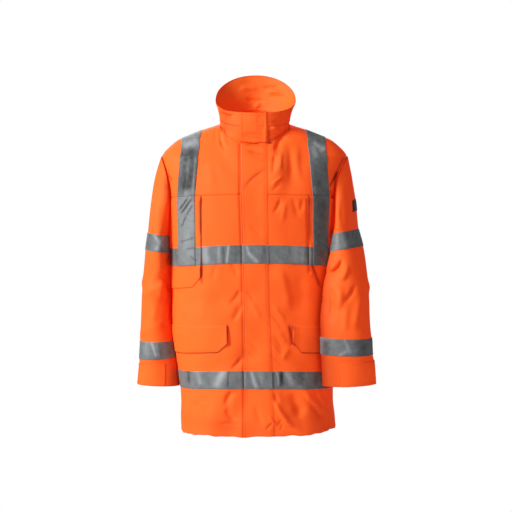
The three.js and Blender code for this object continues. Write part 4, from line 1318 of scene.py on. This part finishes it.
# Sewing: one stitch, repeated along every sewn edge
def small_shape(size, is_round):
    """A primitive of the size given, as corners and triangles; the primitive itself is not kept."""
    for item in bpy.context.selected_objects:
        item.select_set(False)
    if is_round:
        bpy.ops.mesh.primitive_ico_sphere_add(subdivisions=1, radius=0.5)
    else:
        bpy.ops.mesh.primitive_cube_add(size=1)
    bpy.ops.object.mode_set(mode="EDIT")
    bpy.ops.mesh.select_all(action="SELECT")
    bpy.ops.transform.resize(value=size)
    if not is_round:
        bpy.ops.mesh.bevel(offset=min(size) * TOOTH_BEVEL, segments=1)
    bpy.ops.mesh.quads_convert_to_tris()
    bpy.ops.object.mode_set(mode="OBJECT")
    item = bpy.context.object
    corners = np.array([corner.co[:] for corner in item.data.vertices])
    faces = np.array([face.vertices[:] for face in item.data.polygons])
    bpy.data.objects.remove(item)
    return corners, faces


def copied(shape, at, along, out):
    """Copies of one small shape: its X along the seam and its Z out of the cloth."""
    corners, faces = shape
    side = unit(np.cross(out, along))
    axes = np.stack([along, side, np.cross(along, side)], 1)
    points = at[:, None] + np.einsum("kc,ncd->nkd", corners, axes)
    every = faces[None] + np.arange(len(at))[:, None, None] * len(corners)
    return points.reshape(-1, 3), every.reshape(-1, faces.shape[1])


def joined(name, shapes, material):
    """One piece from all the copies of a small shape."""
    starts = np.cumsum([0] + [len(corners) for corners, _ in shapes])
    corners = np.concatenate([corners for corners, _ in shapes])
    faces = np.concatenate([faces + start for (_, faces), start in zip(shapes, starts)])
    piece = linked(name, corners, faces, material)
    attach(piece, "root")


def inset(grid, points, edge, distance):
    """A grid's values at a distance from one edge: 0 and 1 its start and end along i, 2 and 3 along j."""
    if edge < 2:
        grid, points = np.swapaxes(grid, 0, 1), np.swapaxes(points, 0, 1)
    if edge % 2:
        grid, points = grid[:, ::-1], points[:, ::-1]
    return np.array([on_line(distance, along, line) for along, line in zip(lengths_along(points, 1), grid)])


def sewn(line, normals, margin):
    """Stitches along a line on the cloth, as a list that is empty where the line is too short for them."""
    along = lengths_along(line, 0)
    if along[-1] < 2 * margin + 2 * STITCH_PITCH:
        return []
    marks = np.arange(margin + STITCH_PITCH / 2, along[-1] - margin, STITCH_PITCH)
    forward = unit(on_line(marks + 1, along, line) - on_line(marks - 1, along, line))
    return [copied(STITCH, on_line(marks, along, line), forward, on_line(marks, along, normals))]


def topstitch(name, points, is_tube, edges, slot):
    """Sews a piece's stitched edges with two rows, and the long edges of a tape with one."""
    normals = grid_normals(points, is_tube)
    if is_tube:
        points, normals = (np.concatenate([grid, grid[:1]]) for grid in (points, normals))
    is_tape = slot == "reflective_tape"
    if is_tape:
        width, length = (lengths_along(points, axis).max() for axis in (0, 1))
        stitched = (2, 3) if width > length else (0, 1)
    else:
        stitched = [k for k, kind in enumerate(edges) if kind in STITCHED_EDGES]
    stitches = []
    for edge in stitched:
        if is_tube and edge < 2:
            continue
        for distance in STITCH_ROWS[:1] if is_tape else STITCH_ROWS:
            line, facing = (inset(grid, points, edge, distance) for grid in (points, normals))
            stitches += sewn(line, facing, 0 if is_tube else distance)
    if stitches:
        joined(name + "_thread", stitches, TAPE_THREAD if is_tape else THREAD)


# Camera and light
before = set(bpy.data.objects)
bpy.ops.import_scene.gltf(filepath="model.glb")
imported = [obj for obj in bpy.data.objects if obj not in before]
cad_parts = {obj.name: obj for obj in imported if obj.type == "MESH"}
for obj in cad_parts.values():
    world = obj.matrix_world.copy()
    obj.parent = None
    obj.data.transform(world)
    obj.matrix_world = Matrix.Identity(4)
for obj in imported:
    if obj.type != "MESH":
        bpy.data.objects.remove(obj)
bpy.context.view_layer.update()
camera = bpy.data.objects.new("camera", bpy.data.cameras.new("camera"))
camera.location = TARGET + Vector((0, -DISTANCE * math.cos(ELEVATION), DISTANCE * math.sin(ELEVATION)))
camera.rotation_euler = (TARGET - camera.location).to_track_quat("-Z", "Y").to_euler()
camera.data.sensor_width = SENSOR
camera.data.lens = SENSOR * DISTANCE / FRAME_WIDTH
bpy.context.collection.objects.link(camera)
scene = bpy.context.scene
scene.camera = camera
scene.view_settings.view_transform = "Standard"


def area_light(name, place, size, power):
    data = bpy.data.lights.new(name, "AREA")
    data.size = size
    data.energy = power
    light = bpy.data.objects.new(name, data)
    light.location = place
    light.rotation_euler = (TARGET - light.location).to_track_quat("-Z", "Y").to_euler()
    bpy.context.collection.objects.link(light)


for light in LIGHTS:
    area_light(*light)


def studio_world():
    """White straight behind the jacket, and a dim grey all round it."""
    world = bpy.data.worlds.new("studio")
    world.use_nodes = True
    tree = world.node_tree
    direction = add(tree, "ShaderNodeTexCoord").outputs["Generated"]
    ahead = add(tree, "ShaderNodeSeparateXYZ", {"Vector": direction}).outputs["Y"]
    white = {"Value": ahead, "From Min": 0.93, "From Max": 0.95, "To Min": 0.2, "To Max": 1.0}
    strength = add(tree, "ShaderNodeMapRange", white).outputs["Result"]
    fill(tree, tree.nodes["Background"], {"Color": (1, 1, 1, 1), "Strength": strength})
    return world


scene.world = studio_world()
STITCH = small_shape((STITCH_LENGTH, STITCH_RADIUS * 2, STITCH_RADIUS * 2), True)
ZIP_TOOTH = small_shape(TOOTH, False)

# The studio floor, a pale round sheet under the jacket
under = (0, 0, FLOOR_HEIGHT)
bpy.ops.mesh.primitive_circle_add(vertices=FLOOR_SIDES, radius=FLOOR_RADIUS, fill_type="NGON", location=under)
floor = bpy.context.object
floor.name = "floor"
floor.data.materials.append(CARD)

# Body panels
YOKE = front.row("yoke")
TOP = front.height - 1
LAST = front.width - 1
SIDES = ("right", "left")


def front_span(side, outward, inward):
    """The columns from one upright line to another, from left to right in the picture."""
    edge = 0 if side == "right" else LAST
    outer = edge if outward is None else front.column(side + " " + outward)
    inner = front.column(side + " " + inward)
    return (outer, inner) if side == "right" else (inner, outer)


cloth("back", back, (0, back.width - 1), (0, back.height - 1), -CLOTH, CLOTH, step=4.6,
      edges=("seam", "seam", "stitched", "soft"))
for side in SIDES:
    panel = front_span(side, None, "zip")
    cloth("front_lower_" + side, front, panel, (0, YOKE), -CLOTH, CLOTH, step=3.3,
          painted_shading=front_shadows, edges=("seam", "seam", "stitched", "seam"))
    cloth("front_yoke_" + side, front, panel, (YOKE, TOP), -CLOTH, CLOTH, step=3,
          painted_shading=front_shadows, edges=("armhole", "armhole", "seam", "soft"))


# Collar
class Collar:
    """The standing collar. i runs round the neck edge from the front's left to its right, j up to the rim."""

    def __init__(self):
        pieces = []
        for panel, start, end in (
            (front, front.column("left zip"), front.column("left neckCorner")),
            (back, back.column("neckCorner", "left"), back.column("neckCorner", "right")),
            (front, front.column("right neckCorner"), front.column("right zip")),
        ):
            i = np.linspace(start, end, abs(end - start) * NODE_STEPS + 1)
            top = np.full(len(i), panel.height - 1.0)
            edge, away = panel.edge_line(i, i, top, top - 1)
            pieces.append(edge - away * NECK_LAP)
        self.ring = np.concatenate([pieces[0][:-1], pieces[1][1:-1], pieces[2]])
        self.along = lengths_along(self.ring, 0)
        self.flap_left = self.along[NODE_STEPS]
        self.flap_right = self.along[-1] - self.along[-1 - NODE_STEPS]

    def point(self, i, j):
        i, j = np.broadcast_arrays(np.asarray(i, float), np.asarray(j, float))
        base = on_line(i, self.along, self.ring)
        from_middle = base - (RIM_X, 0, 0)
        angle = np.arctan2(from_middle[..., 1], from_middle[..., 0])
        cosine, sine = np.cos(angle), np.sin(angle)
        deep = np.where(sine < 0, RIM_FRONT, RIM_BACK)
        sides = (np.abs(cosine) / RIM_HALF) ** RIM_SQUARE
        reach = (sides + (np.abs(sine) / deep) ** RIM_SQUARE) ** (-1 / RIM_SQUARE)
        y = reach * sine
        rim = np.stack([RIM_X + reach * cosine, y, RIM_SIDE + RIM_SLOPE * y + RIM_CURVE * y * y], -1)
        out = unit(from_middle * (1, 1, 0))
        ahead = np.maximum(-sine, 0) ** 2
        bulge = COLLAR_BULGE_SIDE + (COLLAR_BULGE_FRONT - COLLAR_BULGE_SIDE) * ahead
        swell = bulge * np.sin(np.pi * j)
        return base + (rim - base) * j[..., None] + out * swell[..., None]


def above_neck_seam(points):
    """Height above the seam that runs round the collar's front."""
    x, z = points[..., 0], points[..., 2]
    return z - NECK_SEAM + NECK_SEAM_DROP * np.sqrt(np.clip(1 - (x / NECK_HALF) ** 2, 0, 1))


def collar_relief(i, j, points):
    x, y, z = np.moveaxis(points, -1, 0)
    above = above_neck_seam(points)
    seam = sum(high * bell((above - at) / wide) for high, at, wide in NECK_SEAM_BUMPS)
    ahead = smooth(-y / COLLAR_BLEND)
    in_front = creases(x, z, COLLAR_FRONT_CREASES) + seam
    behind = creases(x, z, COLLAR_BACK_CREASES)
    return ahead * in_front + (1 - ahead) * behind + COLLAR_UNEVEN * undulation(i, z * 2, COLLAR_SEED)


# Painted shade along the seam round the collar's front, with the front's painted shadows
def collar_painted_shade(i, j, points):
    seam = smooth(-points[..., 1] / COLLAR_BLEND) * bell(above_neck_seam(points) / NECK_SEAM_REACH)
    return NECK_SEAM_SHADE * seam + front_shadows(i, j, points)


collar = Collar()
ROUND = collar.along[-1]
cloth("collar", collar, (0, ROUND), (0, 1), -CLOTH, CLOTH, step=2.5, lift=collar_relief,
      painted_shading=collar_painted_shade, edges=("seam", "seam", "soft", "stitched"))


class CollarFront:
    """The part of the collar that its flap covers: its right end, the step over the zip, and its left end."""

    marks = np.cumsum([0, collar.flap_right, FLAP_OVER_ZIP, collar.flap_left])

    def point(self, i, j):
        i, j = np.broadcast_arrays(np.asarray(i, float), np.asarray(j, float))
        places = (ROUND - collar.flap_right, ROUND, 0.0, collar.flap_left)
        at = np.stack([collar.point(np.full(j.shape, place), j) for place in places])
        part = np.clip(np.searchsorted(self.marks, i, side="right") - 1, 0, 2)
        share = (i - self.marks[part]) / np.diff(self.marks)[part]
        start, end = (np.take_along_axis(at, (part + k)[None, ..., None], 0)[0] for k in (0, 1))
        return start + (end - start) * share[..., None]


def collar_flap_lift(i, j, points):
    """Raised along its free edge, most at the lower corner, with soft wrinkles."""
    free = bell((CollarFront.marks[-1] - i) / FLAP_LIFT_REACH) * (FLAP_LIFT + FLAP_CORNER_LIFT * (1 - j))
    return free + creases(points[..., 0], points[..., 2], FLAP_CREASES)


cloth("collar_flap", CollarFront(), (0, CollarFront.marks[-1]), (0, 1), ON_PANEL, FLAP, step=2,
      lift=collar_flap_lift, painted_shading=front_shadows, edges=("stitched", "sewn", "laid", "stitched"))


# Front fastening
class ZipLine:
    """The strip behind both front edges, from the hem up to the rim of the collar."""

    def point(self, i, j):
        i, j = np.broadcast_arrays(np.asarray(i, float), np.asarray(j, float))
        ends = []
        for column, neck in ((front.column("right zip"), ROUND), (front.column("left zip"), 0.0)):
            low = front.point(np.full(j.shape, float(column)), np.minimum(j, TOP))
            high = collar.point(np.full(j.shape, neck), np.clip(j - TOP, 0, 1))
            ends.append(np.where((j > TOP)[..., None], high, low))
        return ends[0] + (ends[1] - ends[0]) * i[..., None]


cloth("front_zip", ZipLine(), (0, 1), (0, TOP + 1), -ZIP_DEPTH - ZIP, ZIP,
      slot="zip", edges=RAW)


def zip_teeth():
    """Two rows of teeth that meet along the middle of the strip, each between two of the other row's."""
    rows = np.linspace(0, TOP + 1, ZIP_MEASURES)
    right, path, left = (ZipLine().point(np.full(ZIP_MEASURES, share), rows) for share in (0.0, 0.5, 1.0))
    across = unit(left - right)
    along = lengths_along(path, 0)
    shapes = []
    for sign in (-1, 1):
        marks = np.arange(ZIP_END + TOOTH_PITCH * sign / 4, along[-1] - ZIP_END, TOOTH_PITCH)
        at, side = (on_line(marks, along, grid) for grid in (path, across))
        out = unit(np.cross(side, on_line(marks + 1, along, path) - at))
        place = at + side * sign * TOOTH_REACH - out * (ZIP_DEPTH + ZIP / 2)
        shapes.append(copied(ZIP_TOOTH, place, side, out))
    joined("front_zip_teeth", shapes, TEETH)


zip_teeth()
storm = (front.column("right flapEdge"), front.column("left flapEdge"))
cloth("storm_flap", front, storm, (0, TOP - 1), ON_PANEL, CLOTH, step=2.8,
      painted_shading=front_shadows, edges=("open", "flat", "stitched", "laid"))


# Pocket flaps
def clipped(start, high, *corners):
    """The lower edge of a flap: its row rises to cut each corner off."""

    def low(i):
        row = np.full(i.shape, float(start))
        for from_i, to_i in corners:
            row += (high - start) * np.clip(1 - (i - from_i) / (to_i - from_i), 0, 1)
        return row

    return low


def raised(free, rows):
    """Lifts the cloth towards its free edge, one upright line away."""

    def lift(i, j, points):
        near = np.clip(1 - np.abs(i - free), 0, 1) ** 2
        return near * sum(high * bell((points[..., 2] - at) / reach) for at, reach, high in rows)

    return lift


for side in SIDES:
    free_ends, edge, inward = (("sewn", "open"), 0, 1) if side == "right" else (("open", "sewn"), LAST, -1)
    slit, tape_in, pocket_end, neck_corner = (
        front.column(side + " " + name) for name in ("slit", "tapeIn", "pocketEnd", "neckCorner")
    )
    span, start = front_span(side, None, "slit"), front.row("chestFlapLow")
    low = clipped(start, front.row("chestFlapClip"), (slit, tape_in))
    cloth("chest_flap_" + side, front, span, (start, YOKE), ON_PANEL, FLAP, step=2.8, low=low,
          painted_shading=front_shadows, lift=raised(slit, SLIT_LIFTS), edges=(*free_ends, "stitched", "sewn"))
    span, rows = front_span(side, None, "pocketEnd"), (front.row("pocketLow"), front.row("pocketTop"))
    low = clipped(rows[0], front.row("pocketClip"), (pocket_end, neck_corner), (edge, edge + inward))
    cloth("pocket_flap_" + side, front, span, rows, ON_PANEL, FLAP, step=2.8, low=low,
          painted_shading=front_shadows, lift=raised(pocket_end, POCKET_LIFTS), edges=(*free_ends, "open", "sewn"))


# Reflective tapes of the body
def rows_between(panel, low, top):
    return panel.row(low), panel.row(top)


def over_band(top):
    """Lifts an upright tape where it crosses over a level one, which ends at the row given."""
    return lambda i, j, points: OVER_TAPE * (1 - smooth(j - top))


# Painted highlights and shade of the body's tapes, at the front and at the back
def body_streaks(i, j, points):
    x, z = points[..., 0], points[..., 2]
    return np.where(points[..., 1] < 0, streaks(x, z, TAPE_STREAKS), streaks(x, z, BACK_STREAKS))


def tape(name, surface, i_span, j_span, level=ON_PANEL, lift=None, step=2.6, painted_shading=body_streaks):
    cloth(name, surface, i_span, j_span, level, TAPE, SILVER, "reflective_tape", step,
          lift=lift, painted_shading=painted_shading, edges=RAW)


BAND, BACK_BAND = (rows_between(panel, "chestTapeLow", "chestTapeTop") for panel in (front, back))
HEM, BACK_HEM = (rows_between(panel, "hemTapeLow", "hemTapeTop") for panel in (front, back))
for side in SIDES:
    panel, flap = "front_lower_" + side, "chest_flap_" + side
    brace = front_span(side, "tapeOut", "tapeIn")
    tape("yoke_tape_" + side, front, brace, (YOKE, TOP))
    tape("brace_tape_" + side, front, brace, (BAND[0], YOKE), ON_FLAP, over_band(BAND[1]))
    tape("chest_tape_" + side, front, front_span(side, "slit", "flapEdge"), BAND)
    tape("chest_flap_tape_" + side, front, front_span(side, None, "slit"), BAND, ON_FLAP,
         raised(front.column(side + " slit"), SLIT_LIFTS))
    tape("hem_tape_" + side, front, front_span(side, None, "flapEdge"), HEM)
    brace = sorted((back.column("tapeOut", side), back.column("tapeIn", side)))
    rows = (BACK_BAND[0], back.height - 1)
    tape("back_brace_tape_" + side, back, brace, rows, lift=over_band(BACK_BAND[1]))
tape("storm_flap_chest_tape", front, storm, BAND, ON_STORM_FLAP)
tape("storm_flap_hem_tape", front, storm, HEM, ON_STORM_FLAP)
tape("chest_tape_back", back, (0, back.width - 1), BACK_BAND)
tape("hem_tape_back", back, (0, back.width - 1), BACK_HEM)


# Sleeves, their tapes, tabs and badge
def sleeve_streaks(sign):
    """The painted highlights and shade of a sleeve's tapes, and the same a little to the side round the back.
    """

    def painted_shading(i, j, points):
        x, z = points[..., 0], points[..., 2]
        shown, hidden = (streaks(x + shift, z, SLEEVE_STREAKS[sign]) for shift in (0, sign * BACK_SHIFT))
        return np.where(np.sin(np.radians(i)) > 0, shown, hidden)

    return painted_shading


def beside_body(i, j, points):
    """The painted shade on a sleeve where it hangs against the body, and round its seam at the armhole."""
    turn = np.abs((i + 180) % 360 - 180)
    below = SIDE_SHADE * bell(turn / SIDE_REACH) * smooth((j - 1) / SIDE_ROWS)
    return below + CAP_SHADE * bell(j / CAP_REACH) * smooth((CAP_END - turn) / CAP_FADE)


for side, sign in (("right", -1), ("left", 1)):
    sleeve = Sleeve(sign)
    name = "sleeve_" + side
    cuff = sleeve.height - 1
    painted_shading = sleeve_streaks(sign)
    cloth(name, sleeve, None, (0, cuff), -CLOTH, CLOTH, step=4.5, painted_shading=beside_body,
          edges=("seam", "seam", "armhole", "stitched"))
    for place, start, end in (("upper", "tapeTop", "tapeLow"), ("lower", "lowerTapeTop", "lowerTapeLow")):
        rows = rows_between(sleeve, start, end)
        tape("sleeve_tape_" + place + "_" + side, sleeve, None, rows, step=2.8, painted_shading=painted_shading)
    tab = sleeve.stretch(*CUFF_TAB)[::-sign]
    cloth("cuff_tab_" + side, sleeve, tab, (sleeve.row("tabTop"), cuff), ON_PANEL, FLAP, step=3,
          edges=("stitched",) * 4)
    if sign > 0:
        badge = sleeve.stretch(*BADGE_ANGLES)[::-1]
        cloth("sleeve_badge", sleeve, badge, BADGE_ROWS, ON_PANEL, BADGE, BLACK, "badge",
              step=2.5, fine=1, edges=RAW)
